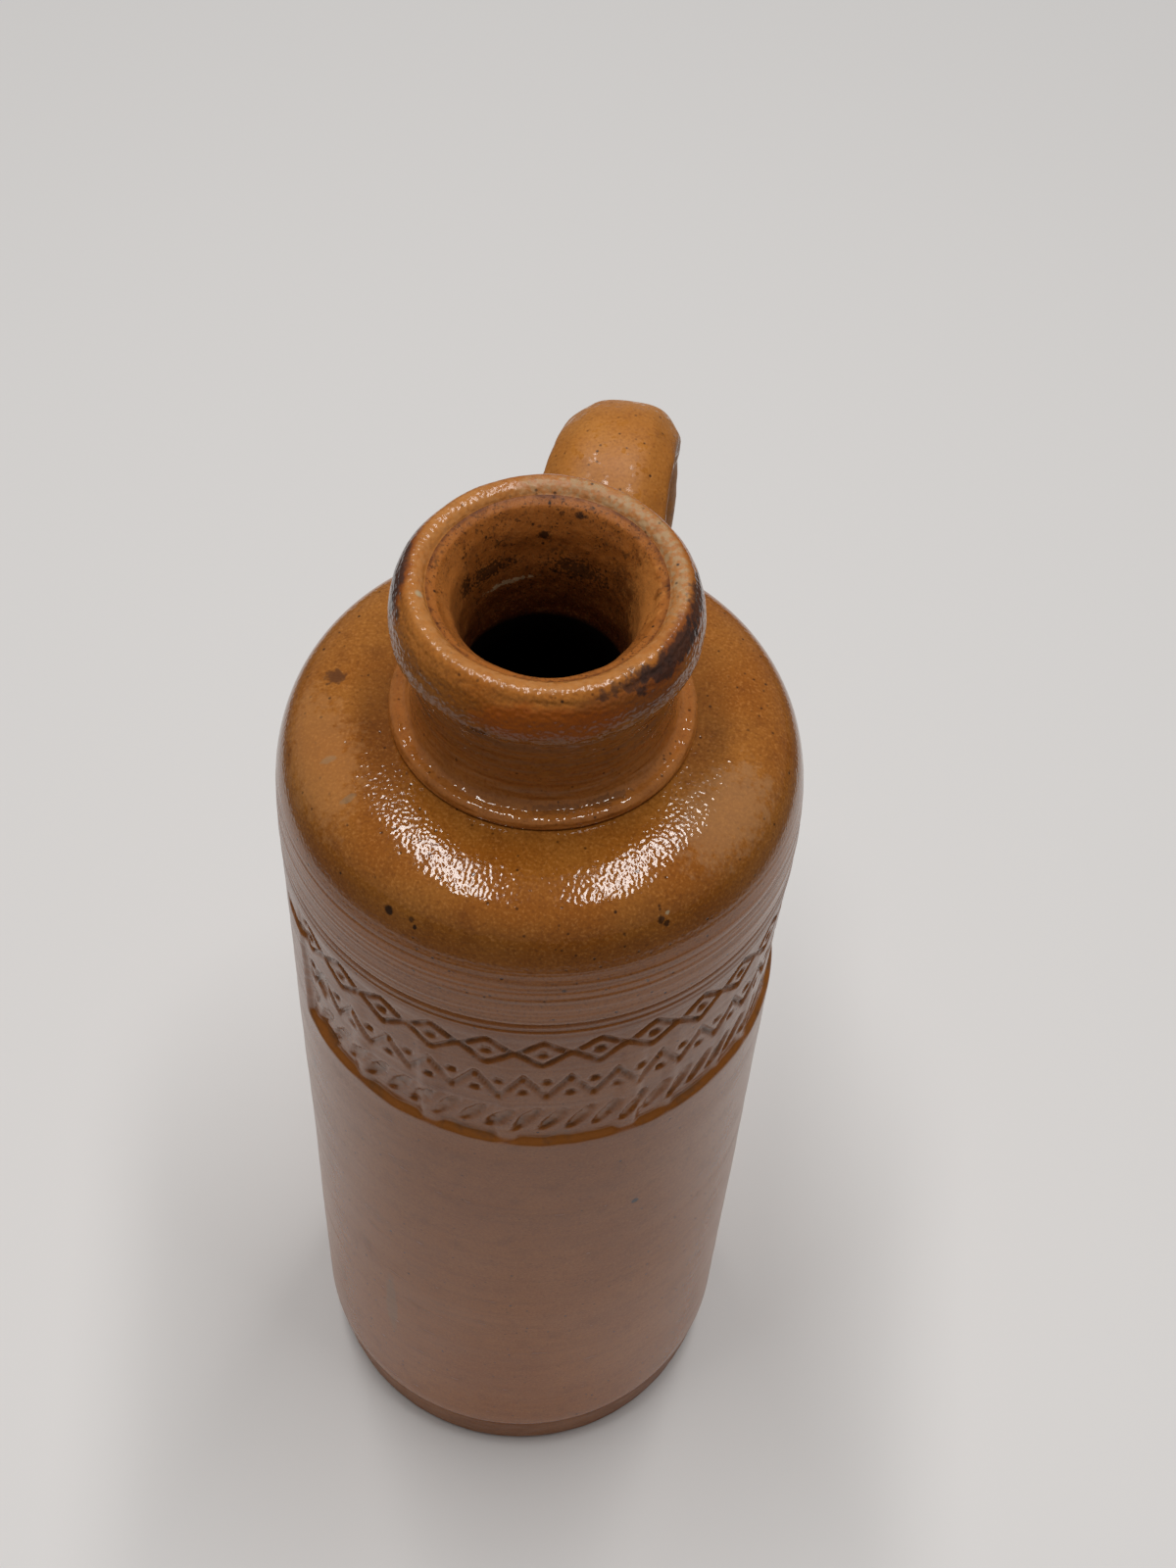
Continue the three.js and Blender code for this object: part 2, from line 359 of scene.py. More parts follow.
@dataclass(frozen=True)
class Mark:
    """One blemish in the glaze, placed by its turn from the front, its radius and its height.

    The arc, the rise and the depth are half its sizes round the axis, upwards and towards the axis.
    """

    turn: float
    radius: float
    height: float
    arc: float
    rise: float
    colour: Colour
    strength: float = 0.9
    ragged: float = 0.5
    grain: float = 1.2
    depth: float = 6.0

    def mask(self, graph: Graph) -> Wire:
        """Gives the blemish's mask.

        Args:
            graph: material that it goes into.

        Returns:
            A mask that is strongest in its middle.
        """
        spin = math.radians(self.turn) + FRONT - math.pi / 2
        centre = (self.radius * math.cos(spin), self.radius * math.sin(spin), self.height)
        near = graph.moved("TEXTURE", {"Location": centre, "Rotation": (0.0, 0.0, spin),
                                       "Scale": (self.depth, self.arc, self.rise)})
        far = graph.length(near) + (graph.cloud(self.grain, 3.0) - 0.5) * (2 * self.ragged)
        return far.step(1.15, 0.65) * self.strength


@dataclass(frozen=True)
class Crust(Mark):
    """A ragged patch of dirt that clings in the mouth."""

    colour: Colour = DARK_IRON
    strength: float = 0.75
    ragged: float = 2.2
    grain: float = 0.42
    depth: float = 2.5


@dataclass(frozen=True)
class Glaze:
    """Salt glaze over iron-bearing clay.

    Attributes:
        name: name of the material.
        body: main colour.
        warm: colour of its broad warmer patches.
        deep: colour of its darker mottling and streaks.
        gloss: roughness of its skin.
        peel: height of its orange-peel relief in millimetres.
        grain: size of that relief.
        streak: strength of its level streaks.
        specks: share of the places that hold an iron speck.
        index: refractive index.
        calm: height below which the relief is faint and the skirt begins.
        mottle: strength of the finest mottling.
        patchy: how much smoother its glossier spots are.
        ribs: height of the finger ribs' relief.
        pale: colour of its pale grains.
        pool: colour of the glaze that pools in an impression.
        murk: colour of the dirt in that pool, which also stands in for the shade in the hollow as painted
            shade.
        skirt: colour below the calm height, or None.
        marks: its blemishes.
    """

    name: str
    body: Colour
    warm: Colour
    deep: Colour
    gloss: float = 0.12
    peel: float = 0.05
    grain: float = 1.2
    streak: float = 0.0
    specks: float = 0.4
    index: float = 1.45
    calm: float = 0.0
    mottle: float = 0.25
    patchy: float = 0.0
    ribs: float = 0.0
    pale: Colour = (0.54, 0.225, 0.055)
    pool: Colour = (0.36, 0.115, 0.010)
    murk: Colour = (0.10, 0.055, 0.024)
    skirt: Optional[Colour] = None
    marks: tuple[Mark, ...] = ()

    def make(self) -> bpy.types.Material:
        """Builds the material.

        Returns:
            The glaze.
        """
        graph = Graph(bpy.data.materials.new(self.name))
        broad = graph.cloud(24.0, 3.0)
        middle = graph.cloud(4.0, 4.0)
        fine = graph.cloud(0.7, 2.0)
        grit = graph.cloud(0.45, 1.5)
        low = (graph.height() + broad * 6.0).step(self.calm + 7.0, self.calm - 3.0)
        lines = graph.cloud(1.6, 3.0, graph.stretched(0.05, 1.0))
        streaks = lines.step(0.40, 0.75) * self.streak
        colour = graph.lay(broad.step(0.38, 0.66), self.body, self.warm)
        colour = graph.lay(middle.step(0.48, 0.78) * 0.40, colour, self.deep)
        if self.skirt:
            colour = graph.lay(low, colour, self.skirt)
            streaks = streaks * low
        colour = graph.lay(streaks, colour, self.deep)
        colour = graph.lay(fine.step(0.50, 0.80) * 0.45, colour, self.deep)
        colour = graph.lay(grit.step(0.52, 0.72) * self.mottle, colour, self.deep)
        colour = graph.lay(grit.step(0.48, 0.28) * self.mottle, colour, self.pale)
        iron = graph.specks(3.2, 0.12, 0.34, self.specks)
        iron = iron.most(graph.specks(11.0, 0.30, 0.60, self.specks * 0.6))
        iron = iron.most(graph.specks(1.9, 0.10, 0.32, self.specks) * 0.8)
        colour = graph.lay(iron * 0.85, colour, DARK_IRON)
        colour, dull = self.dress(graph, colour)
        for mark in self.marks:
            colour = graph.lay(mark.mask(graph), colour, mark.colour)
        # Hollows take the pooled glaze mottled with the murk, partly dirt and partly painted shade in the
        # recess.
        hollow = graph.value("ShaderNodeAttribute", "Fac", {}, attribute_name="hollow")
        pooled = graph.lay(graph.cloud(5.0, 3.0).step(0.48, 0.64) * 0.75, self.pool, self.murk)
        colour = graph.lay(hollow * 0.75, colour, pooled)
        rough = middle * 0.10 + streaks * 0.2 + (self.gloss - 0.05) + dull
        if self.skirt:
            rough = rough + low * 0.10
        if self.patchy:
            rough = rough - graph.cloud(1.8, 2.0).step(0.56, 0.66) * self.patchy
        peel = (1.0 - low) * (self.peel * 0.9) + self.peel * 0.1
        relief = graph.cloud(self.grain, 0.3) * peel + fine * 0.003 + streaks * 0.05 - iron * 0.02
        if self.ribs:
            ribbed = graph.cloud(1.5, 1.0) * 0.4 + graph.cloud(1.1, 1.0, graph.stretched(0.10, 1.0))
            relief = relief + ribbed * self.ribs
        return graph.finish(colour, rough, relief, self.index)

    def dress(self, graph: Graph, colour: Wire) -> tuple[Wire, Number]:
        """Adds what only one piece's glaze has, and gives how much duller it is there."""
        return colour, 0.0


@dataclass(frozen=True, kw_only=True)
class LipGlaze(Glaze):
    """Glaze of the lip, paler along its crest, partly rubbed wear and partly painted highlight, and worn
    pale on one side.
    """

    levels: Levels
    crest_drop: tuple[float, float] = (1.7, 0.8)
    crest_edge: tuple[float, float] = (19.8, 18.9)

    def dress(self, graph: Graph, colour: Wire) -> tuple[Wire, Number]:
        """Adds the paler crest, partly rubbed wear and partly painted highlight.

        Args:
            graph: the material.
            colour: colour of the whole glaze.

        Returns:
            The colour with the paler crest, and the crest's dullness.
        """
        at = self.levels
        level = graph.height() + (graph.along(AHEAD) * (1 / at.lip) + 1.0) * at.lean
        ring = graph.radius(AHEAD * at.shift)
        crest = level.step(*(at.top - drop for drop in self.crest_drop)) * ring.step(*self.crest_edge)
        grit = graph.cloud(0.9, 3.0).step(0.40, 0.62)
        # The whole crest is laid paler: partly rubbed wear, partly painted highlight where the upturned
        # crest catches the light.
        colour = graph.lay(crest * (grit * 0.30 + 0.25), colour, RUBBED)
        side = Mark(128.0, 14.0, at.top, 17.0, 8.0, WORN, 1.0, grain=3.0, depth=16.0)
        worn = crest * side.mask(graph)
        colour = graph.lay(worn * (grit * 0.55 + 0.1), colour, WORN)
        colour = graph.lay(worn * graph.specks(1.5, 0.10, 0.36, 0.55) * 0.9, colour, DARK_IRON)
        return colour, crest * 0.05 + worn * 0.35


@dataclass(frozen=True)
class Throat:
    """Thin brown glaze in the mouth, darkening downwards as painted shade to near black deep inside.

    The rim is the radius of the step in the mouth, whose band is darkened as painted shade, or 0 for none,
    and the shift its place ahead.
    """

    name: str
    upper: Colour
    lower: Colour
    top: float
    bottom: float
    pale: Colour = (0.46, 0.185, 0.045)
    rim: float = 0.0
    shift: float = 0.0
    marks: tuple[Mark, ...] = ()

    def make(self) -> bpy.types.Material:
        """Builds the material.

        Returns:
            The finish of the inside.
        """
        graph = Graph(bpy.data.materials.new(self.name))
        depth = graph.height() + (graph.cloud(5.0, 3.0) - 0.5) * 5.0
        middle = graph.cloud(2.4, 4.0)
        grime = graph.cloud(1.0, 4.0)
        # Painted shade: the colour darkens from the upper to the lower one towards the bottom.
        colour = graph.lay(depth.step(self.bottom, self.top), self.lower, self.upper)
        colour = graph.lay(middle.step(0.45, 0.75) * 0.45, colour, self.lower)
        colour = graph.lay(graph.cloud(0.5, 3.0).step(0.50, 0.72) * 0.35, colour, self.pale)
        colour = graph.lay(grime.step(0.56, 0.70) * 0.6, colour, DARK_IRON)
        colour = graph.lay(grime.step(0.44, 0.30) * 0.15, colour, RUBBED)
        colour = graph.lay(graph.specks(1.9, 0.10, 0.34, 0.7) * 0.9, colour, DARK_IRON)
        crust = graph.cloud(0.38, 3.0).step(0.54, 0.66) * graph.cloud(3.5, 2.0).step(0.38, 0.58)
        colour = graph.lay(crust * 0.75, colour, DARK_IRON)
        # Painted shade: a darker band at the step in the mouth, where its shadow falls.
        if self.rim:
            step = graph.radius(AHEAD * self.shift).step(self.rim - 0.65, self.rim - 0.15)
            colour = graph.lay(step * (middle.step(0.35, 0.6) * 0.5 + 0.2), colour, self.lower)
        for mark in self.marks:
            colour = graph.lay(mark.mask(graph), colour, mark.colour)
        # Painted shade: below the bottom the colour goes to near black, where no light reaches.
        colour = graph.lay(graph.height().step(self.bottom + 0.8, self.bottom - 0.8), colour, UNLIT)
        relief = middle * 0.08 + grime * 0.06 + graph.cloud(0.5, 2.0) * 0.03
        return graph.finish(colour, middle * 0.2 + 0.40, relief, 1.35)


class Outline:
    """A run of profile points in the plane of radius and height."""

    def __init__(self, radius: float, height: float) -> None:
        """Starts at one point."""
        self.points: list[tuple[float, float]] = [(radius, height)]

    def to(self, radius: float, height: float, step: float = 0.0) -> "Outline":
        """Draws a straight line.

        Args:
            radius: radius of its end.
            height: height of its end.
            step: greatest spacing of points along it, or 0 for its end alone.

        Returns:
            This outline.
        """
        r0, z0 = self.points[-1]
        count = max(1, math.ceil(math.hypot(radius - r0, height - z0) / step)) if step else 1
        for i in range(1, count + 1):
            t = i / count
            self.points.append((r0 + (radius - r0) * t, z0 + (height - z0) * t))
        return self

    def bend(self, *controls: tuple[float, float], count: int = 8) -> "Outline":
        """Draws a Bezier curve from the last point.

        Args:
            controls: its control points, the last of them its end.
            count: number of points along it.

        Returns:
            This outline.
        """
        hull = [Vector(self.points[-1])] + [Vector(c) for c in controls]
        for i in range(1, count + 1):
            run = hull
            while len(run) > 1:
                run = [a.lerp(b, i / count) for a, b in zip(run, run[1:])]
            self.points.append((run[0].x, run[0].y))
        return self


def radius_of(spot: Vector) -> float:
    """Gives a point's distance from the axis."""
    return math.hypot(spot.x, spot.y)


def turn_of(spot: Vector) -> float:
    """Gives the angle about the axis from the photographed front.

    Args:
        spot: the point.

    Returns:
        The angle in degrees, positive to the right.
    """
    across = spot.x * math.cos(FRONT) + spot.y * math.sin(FRONT)
    away = spot.y * math.cos(FRONT) - spot.x * math.sin(FRONT)
    return math.degrees(math.atan2(across, -away))


def reaches(points: list[Vector]) -> list[float]:
    """Gives the length of a run of points up to each of them."""
    return list(accumulate(((b - a).length for a, b in zip(points, points[1:])), initial=0.0))


def smooth(value: float, low: float, high: float) -> float:
    """Rises smoothly from 0 at low to 1 at high."""
    t = min(1.0, max(0.0, (value - low) / (high - low)))
    return t * t * (3 - 2 * t)


def rough(spot: Sequence[float], across: float, up: float, shift: float = 0.0) -> float:
    """Reads soft noise from -1 to 1, by its patches' sizes across and up; a shift gives another pattern."""
    x, y, z = spot
    return noise.noise(Vector((x / across + shift, y / across - shift, z / up + shift)))


def ring_edges(bm: bmesh.types.BMesh, ring: list[bmesh.types.BMVert]) -> list[bmesh.types.BMEdge]:
    """Gives the edges of a closed ring of vertices."""
    return [bm.edges.get((a, b)) for a, b in zip(ring, ring[1:] + ring[:1])]


def drawn_out(bm: bmesh.types.BMesh, ring: list[bmesh.types.BMVert]) -> list[bmesh.types.BMVert]:
    """Extrudes a closed ring of vertices.

    Args:
        bm: the mesh.
        ring: the ring that it grows from.

    Returns:
        The new ring, in the same order.
    """
    made = bmesh.ops.extrude_edge_only(bm, edges=ring_edges(bm, ring))["geom"]
    fresh = {v for v in made if isinstance(v, bmesh.types.BMVert)}
    return [next(e.other_vert(v) for e in v.link_edges if e.other_vert(v) in fresh) for v in ring]


class Potter:
    """Unevenness that the maker's hand and the kiln left in the clay, in millimetres."""

    @staticmethod
    def wobble(spot: Vector) -> float:
        """Gives the slow waver of the turned wall."""
        return 0.16 * rough(spot, 34.0, 46.0) + 0.07 * rough(spot, 60.0, 5.5, 7.0)

    @staticmethod
    def bore(spot: Vector) -> float:
        """Gives the crusty unevenness of the mouth and throat."""
        return 0.20 * rough(spot, 6.0, 3.4) + 0.05 * rough(spot, 1.6, 1.2)

    @staticmethod
    def lines(spot: Vector) -> float:
        """Gives the fine lines of the turning rib."""
        return 0.026 * rough(spot, 60.0, 0.75, 3.0) + 0.026 * rough(spot, 40.0, 0.42, 11.0)


@dataclass
class Fired:
    """A finished piece of the bottle."""

    name: str
    node: Clay
    slot: Slot

    def place(self, bm: bmesh.types.BMesh, finishes: list[bpy.types.Material]) -> bpy.types.Object:
        """Makes the object from its mesh and sets it on the frame.

        Args:
            bm: mesh in millimetres.
            finishes: materials by index.

        Returns:
            The object.
        """
        for face in bm.faces:
            face.smooth = True
        for edge in bm.edges:
            edge.smooth = edge.calc_face_angle(0.0) < CRISP_ANGLE
        bmesh.ops.scale(bm, vec=(MM, MM, MM), verts=bm.verts)
        mesh = bpy.data.meshes.new(self.name)
        bm.to_mesh(mesh)
        bm.free()
        for finish in finishes:
            mesh.materials.append(finish)
        piece = bpy.data.objects.new(self.name, mesh)
        bpy.context.scene.collection.objects.link(piece)
        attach(piece, "root")
        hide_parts(self.node.value)
        LOG.info("%s: %d faces", self.name, len(mesh.polygons))
        return piece


@dataclass
class Turned(Fired):
    """A piece turned on the wheel."""

    levels: Levels
    steps: int = 240
    sectors: int = 8
    closed: bool = True

    def outline(self) -> Outline:
        """Draws the profile."""
        raise NotImplementedError

    def relief(self, spot: Vector, outer: bool) -> tuple[float, float]:
        """Gives how far a point moves outwards, and how deep it lies in an impression."""
        return Potter.wobble(spot), 0.0

    def settle(self, spot: Vector) -> Vector:
        """Gives how far a point shifts as the soft clay sags."""
        return Vector((0.0, 0.0, 0.0))

    def spun(self) -> bmesh.types.BMesh:
        """Turns the profile through one sector and doubles that until it goes all round.

        Returns:
            The closed mesh, in millimetres.
        """
        bm = bmesh.new()
        verts = [bm.verts.new((r, 0.0, z)) for r, z in self.outline().points]
        ahead = verts[1:] + verts[:1] if self.closed else verts[1:]
        edges = [bm.edges.new(pair) for pair in zip(verts, ahead)]
        turn = math.tau / self.sectors
        bmesh.ops.spin(bm, geom=verts + edges, cent=(0, 0, 0), axis=(0, 0, 1), dvec=(0, 0, 0),
                       angle=turn, steps=self.steps // self.sectors)
        while turn < math.tau - 0.01:
            copy = bmesh.ops.duplicate(bm, geom=bm.verts[:] + bm.edges[:] + bm.faces[:])["geom"]
            fresh = [v for v in copy if isinstance(v, bmesh.types.BMVert)]
            bmesh.ops.rotate(bm, cent=(0, 0, 0), matrix=Matrix.Rotation(turn, 3, "Z"), verts=fresh)
            turn *= 2
        bmesh.ops.remove_doubles(bm, verts=bm.verts, dist=1e-3)
        bmesh.ops.recalc_face_normals(bm, faces=bm.faces)
        return bm

    def build(self, outside: bpy.types.Material, inside: bpy.types.Material) -> bpy.types.Object:
        """Builds the piece with its two finishes.

        Args:
            outside: finish of the outside.
            inside: finish of the inside.

        Returns:
            The object.
        """
        bm = self.spun()
        bm.normal_update()
        for face in bm.faces:
            face.material_index = int(self.is_inside(face))
        layer = bm.verts.layers.float.new("hollow")
        for vert in bm.verts:
            spot = vert.co.copy()
            radius = radius_of(spot)
            if radius < POLE:
                continue
            outer = not any(face.material_index for face in vert.link_faces)
            out, vert[layer] = self.relief(spot, outer)
            vert.co += self.settle(spot) + Vector((spot.x, spot.y, 0.0)) * (out / radius)
        return self.place(bm, [outside, inside])

    def is_inside(self, face: bmesh.types.BMFace) -> bool:
        """Tells whether a face looks into the bottle."""
        centre = face.calc_center_median()
        return face.normal.x * centre.x + face.normal.y * centre.y < -0.05 * radius_of(centre)

    @staticmethod
    def is_within(face: bmesh.types.BMFace, radius: float) -> bool:
        """Tells whether a face lies nearer to the axis than a radius."""
        return radius_of(face.calc_center_median()) < radius


@dataclass
class BaseDisc(Turned):
    """Floor of the bottle with its chamfered foot."""

    closed: bool = False
    inset: float = 1.6
    round: float = 1.2
    bulge: float = 0.9
    floor: float = 9.0
    cove: float = 9.0
    line: float = 0.28

    def outline(self) -> Outline:
        """Draws the disc from the middle of its underside to the middle of its floor.

        Returns:
            The profile.
        """
        at = self.levels
        foot = at.body - self.inset
        bore = at.body - at.wall
        lap = at.body - at.wall_lap
        edge = at.body - self.line
        line = Outline(0.0, 0.0).to(foot - self.round, 0.0, step=4.0)
        line.bend((foot, 0.0), (foot, self.round), count=5)
        line.bend((foot + self.bulge, at.foot * 0.55), (edge, at.foot - 0.5), count=10)
        line.to(edge - 0.1, at.foot).to(lap, at.foot).to(lap, at.curb).to(bore, at.curb)
        line.bend((bore, self.floor), (bore - self.cove, self.floor), count=8)
        return line.to(0.0, self.floor, step=6.0)

    def relief(self, spot: Vector, outer: bool) -> tuple[float, float]:
        """Adds the worn unevenness of the foot."""
        worn = smooth(spot.z, -0.5, 1.5) * smooth(self.levels.foot - spot.z, 0.0, 3.0)
        return Potter.wobble(spot) + 0.18 * rough(spot, 3.5, 2.0) * worn, 0.0

    def is_inside(self, face: bmesh.types.BMFace) -> bool:
        """Tells whether a face lies on the floor or in its cove."""
        return face.normal.z > 0.15 and self.is_within(face, self.levels.body - self.levels.wall_lap)


@dataclass(frozen=True)
class Smear:
    """A hollow smeared into the clay, placed by its turn from the front and its height."""

    turn: float
    height: float
    long: float
    tall: float

    def share(self, spot: Vector, radius: float) -> float:
        """Gives the share of the full hollow at a point.

        Args:
            spot: the point.
            radius: radius of the wall.

        Returns:
            The share, from 0 to 1.
        """
        across = math.radians(turn_of(spot) - self.turn) * radius / self.long
        far = math.hypot(across, (spot.z - self.height) / self.tall)
        return 1 - smooth(far + 0.35 * rough(spot, 3.0, 2.0, 13.0), 0.65, 1.0)


@dataclass(frozen=True)
class Row:
    """A row of plain ornament that repeats along the panel, with its height above the panel's foot."""

    height: float
    pitch: float
    half: float
    slant: float = 0.0
    stroke: float = 0.52
    margin: float = 1.5

    def line(self, far: float) -> float:
        """Gives a stroke's share at a distance from its middle line."""
        return 1 - smooth(far, self.stroke * 0.35, self.stroke * 1.25)

    def dot(self, far: float, radius: float) -> float:
        """Gives a filled dot's share at a distance from its middle."""
        return self.line(max(0.0, far - radius))

    def pressed(self, along: float, up: float) -> float:
        """Gives the share of the full stroke at a place on the panel.

        Args:
            along: distance from the panel's left end.
            up: height above its foot.

        Returns:
            The share, from 0 to 1.
        """
        rise = up - self.height
        if abs(rise) > self.half + self.margin:
            return 0.0
        place = (along - rise * self.slant) / self.pitch
        return self.drawn(place - math.floor(place) - 0.5, rise)

    def drawn(self, share: float, up: float) -> float:
        """Draws one repeat, from the share of its pitch and the height about its middle."""
        raise NotImplementedError


class Lozenges(Row):
    """A chain of lozenges, each with a dot."""

    def drawn(self, share: float, up: float) -> float:
        """Draws one lozenge.

        Args:
            share: share of the pitch from the lozenge's middle.
            up: height above its middle.

        Returns:
            The share of the full stroke.
        """
        x = share * self.pitch
        wide = self.pitch * 0.46
        edge = (abs(x) / wide + abs(up) / self.half - 1) * wide * self.half / math.hypot(wide, self.half)
        return max(self.line(abs(edge)), self.dot(math.hypot(x, up), 0.45))


class Zigzag(Row):
    """A zigzag with a dot in each bay."""

    def drawn(self, share: float, up: float) -> float:
        """Draws one bay above the line and half a bay on either side below it.

        Args:
            share: share of the pitch from the bay's middle.
            up: height above the row's middle.

        Returns:
            The share of the full stroke.
        """
        line = self.half * (4 * abs(share) - 1)
        slope = math.cos(math.atan(4 * self.half / self.pitch))
        upper = math.hypot(share * self.pitch, up - self.half * 0.55)
        lower = math.hypot((0.5 - abs(share)) * self.pitch, up + self.half * 0.55)
        return max(self.line(abs(up - line) * slope), self.dot(min(upper, lower), 0.35))


class Leaves(Row):
    """A row of slanted leaves."""

    def drawn(self, share: float, up: float) -> float:
        """Draws one leaf, which swells in its middle."""
        swell = max(0.0, 1 - (up / self.half) ** 2)
        return self.dot(abs(share * self.pitch), 0.75 * swell) * smooth(swell, 0.0, 0.25)


@dataclass
class Panel:
    """Impressed panel of plain ornament round the front of the wall."""

    low: float
    high: float
    left: float = -64.8
    right: float = 91.2
    end: float = 1.4
    foot: float = 1.0
    fade: float = 0.12
    ramp: float = 1.6
    cut: float = 0.55
    margin: tuple[float, float] = (2.0, 3.0)
    rows: tuple[Row, ...] = (
        Lozenges(27.9, 8.6, 3.5), Zigzag(17.6, 7.4, 3.1), Leaves(7.2, 4.3, 3.4, slant=0.55))
    scrape: float = 0.5
    smears: tuple[Smear, ...] = (
        Smear(-66.0, 155.2, 6.2, 2.2), Smear(-55.4, 146.5, 2.2, 3.4), Smear(-55.5, 132.4, 3.8, 2.4))

    def depth(self, spot: Vector, radius: float) -> tuple[float, float]:
        """Gives how deep the panel lies at a point.

        Args:
            spot: the point.
            radius: radius of the wall.

        Returns:
            Depth in millimetres, and the share of a stroke, of the panel's foot or of a smear there.
        """
        smear = max(hollow.share(spot, radius) for hollow in self.smears)
        along = math.radians(turn_of(spot) - self.left) * radius
        rest = math.radians(self.right - self.left) * radius - along
        tall = self.high - self.low
        up = spot.z - self.low + 0.35 * rough(spot, 9.0, 9.0, 5.0)
        ends = smooth(along + 0.5 * rough(spot, 4.0, 4.0), 0.0, self.end) * smooth(rest, 0.0, self.end)
        if ends <= 0.0 or up < -0.5:
            return self.scrape * smear, smear
        run = (along, 0.0, 0.0)
        whole = smooth(rough(run, 6.5, 1.0, 4.0), -0.42, -0.12)
        ramp = self.ramp * (1 + 0.5 * rough(run, 3.5, 1.0, 8.0))
        bed = self.fade + (self.foot - self.fade) * (1 - up / tall) * (0.3 + 0.7 * whole)
        bed *= smooth(up, 0.0, ramp) * (1 - smooth(up, tall - 2.0, tall + 0.5))
        mark = max(row.pressed(along, up) for row in self.rows)
        mark *= smooth(along, *self.margin) * smooth(rest, *self.margin)
        mark *= min(1.0, 0.85 + 0.6 * rough(spot, 2.4, 2.4, 3.0)) * (1 - smear)
        ledge = whole * (1 - smooth(up, ramp * 0.7, ramp * 2.2)) * smooth(up, -0.3, 0.4)
        sunk = ends * (max(0.0, bed) + self.cut * mark)
        return sunk + self.scrape * smear, max(ends * max(mark, 0.95 * ledge), smear)


@dataclass
class BodyTube(Turned):
    """Cylindrical wall with its turned lines and impressed panel."""

    steps: int = 576
    fine: float = 0.13
    fine_drop: float = 1.7
    fine_width: float = 0.3
    panel_drop: float = 3.8
    panel_height: float = 32.5

    def __post_init__(self) -> None:
        """Sets the panel below the turned lines."""
        high = self.levels.seam - self.panel_drop
        self.panel = Panel(low=high - self.panel_height, high=high)

    def outline(self) -> Outline:
        """Draws the tube, densely where the panel lies.

        Returns:
            The profile.
        """
        at = self.levels
        bore = at.body - at.wall
        lap = at.body - at.wall_lap
        line = Outline(lap + at.slip, at.foot).to(at.body - at.line - 0.1, at.foot)
        line.to(at.body - 0.12, at.foot + 0.5).to(at.body, at.foot + 1.2)
        line.to(at.body, self.panel.low - 1.5, step=2.6).to(at.body, self.panel.high + 0.5, step=0.36)
        line.to(at.body, at.seam - 0.5, step=0.22).to(at.body - at.line, at.seam)
        line.to(lap, at.seam).to(lap, at.lap)
        line.to(bore, at.lap).to(bore, at.curb + at.slip, step=40.0)
        return line.to(lap + at.slip, at.curb + at.slip)

    def relief(self, spot: Vector, outer: bool) -> tuple[float, float]:
        """Adds the turned lines and the panel.

        Args:
            spot: a point of the mesh.
            outer: whether it lies on the outside.

        Returns:
            How far it moves outwards, and how deep it lies in an impression.
        """
        out = Potter.wobble(spot)
        if not outer or radius_of(spot) < self.levels.body - self.levels.line - 0.2:
            return out, 0.0
        high = smooth(spot.z, self.panel.low - 1.0, self.panel.low + 1.0)
        high += 1.6 * smooth(spot.z, self.panel.high - 2.0, self.panel.high)
        out += Potter.lines(spot) * high * smooth(self.levels.seam - spot.z, 0.0, 0.6)
        groove = (spot.z - self.levels.seam + self.fine_drop) / self.fine_width
        out -= self.fine * math.exp(-groove * groove)
        depth, hollow = self.panel.depth(spot, self.levels.body)
        return out - depth, hollow


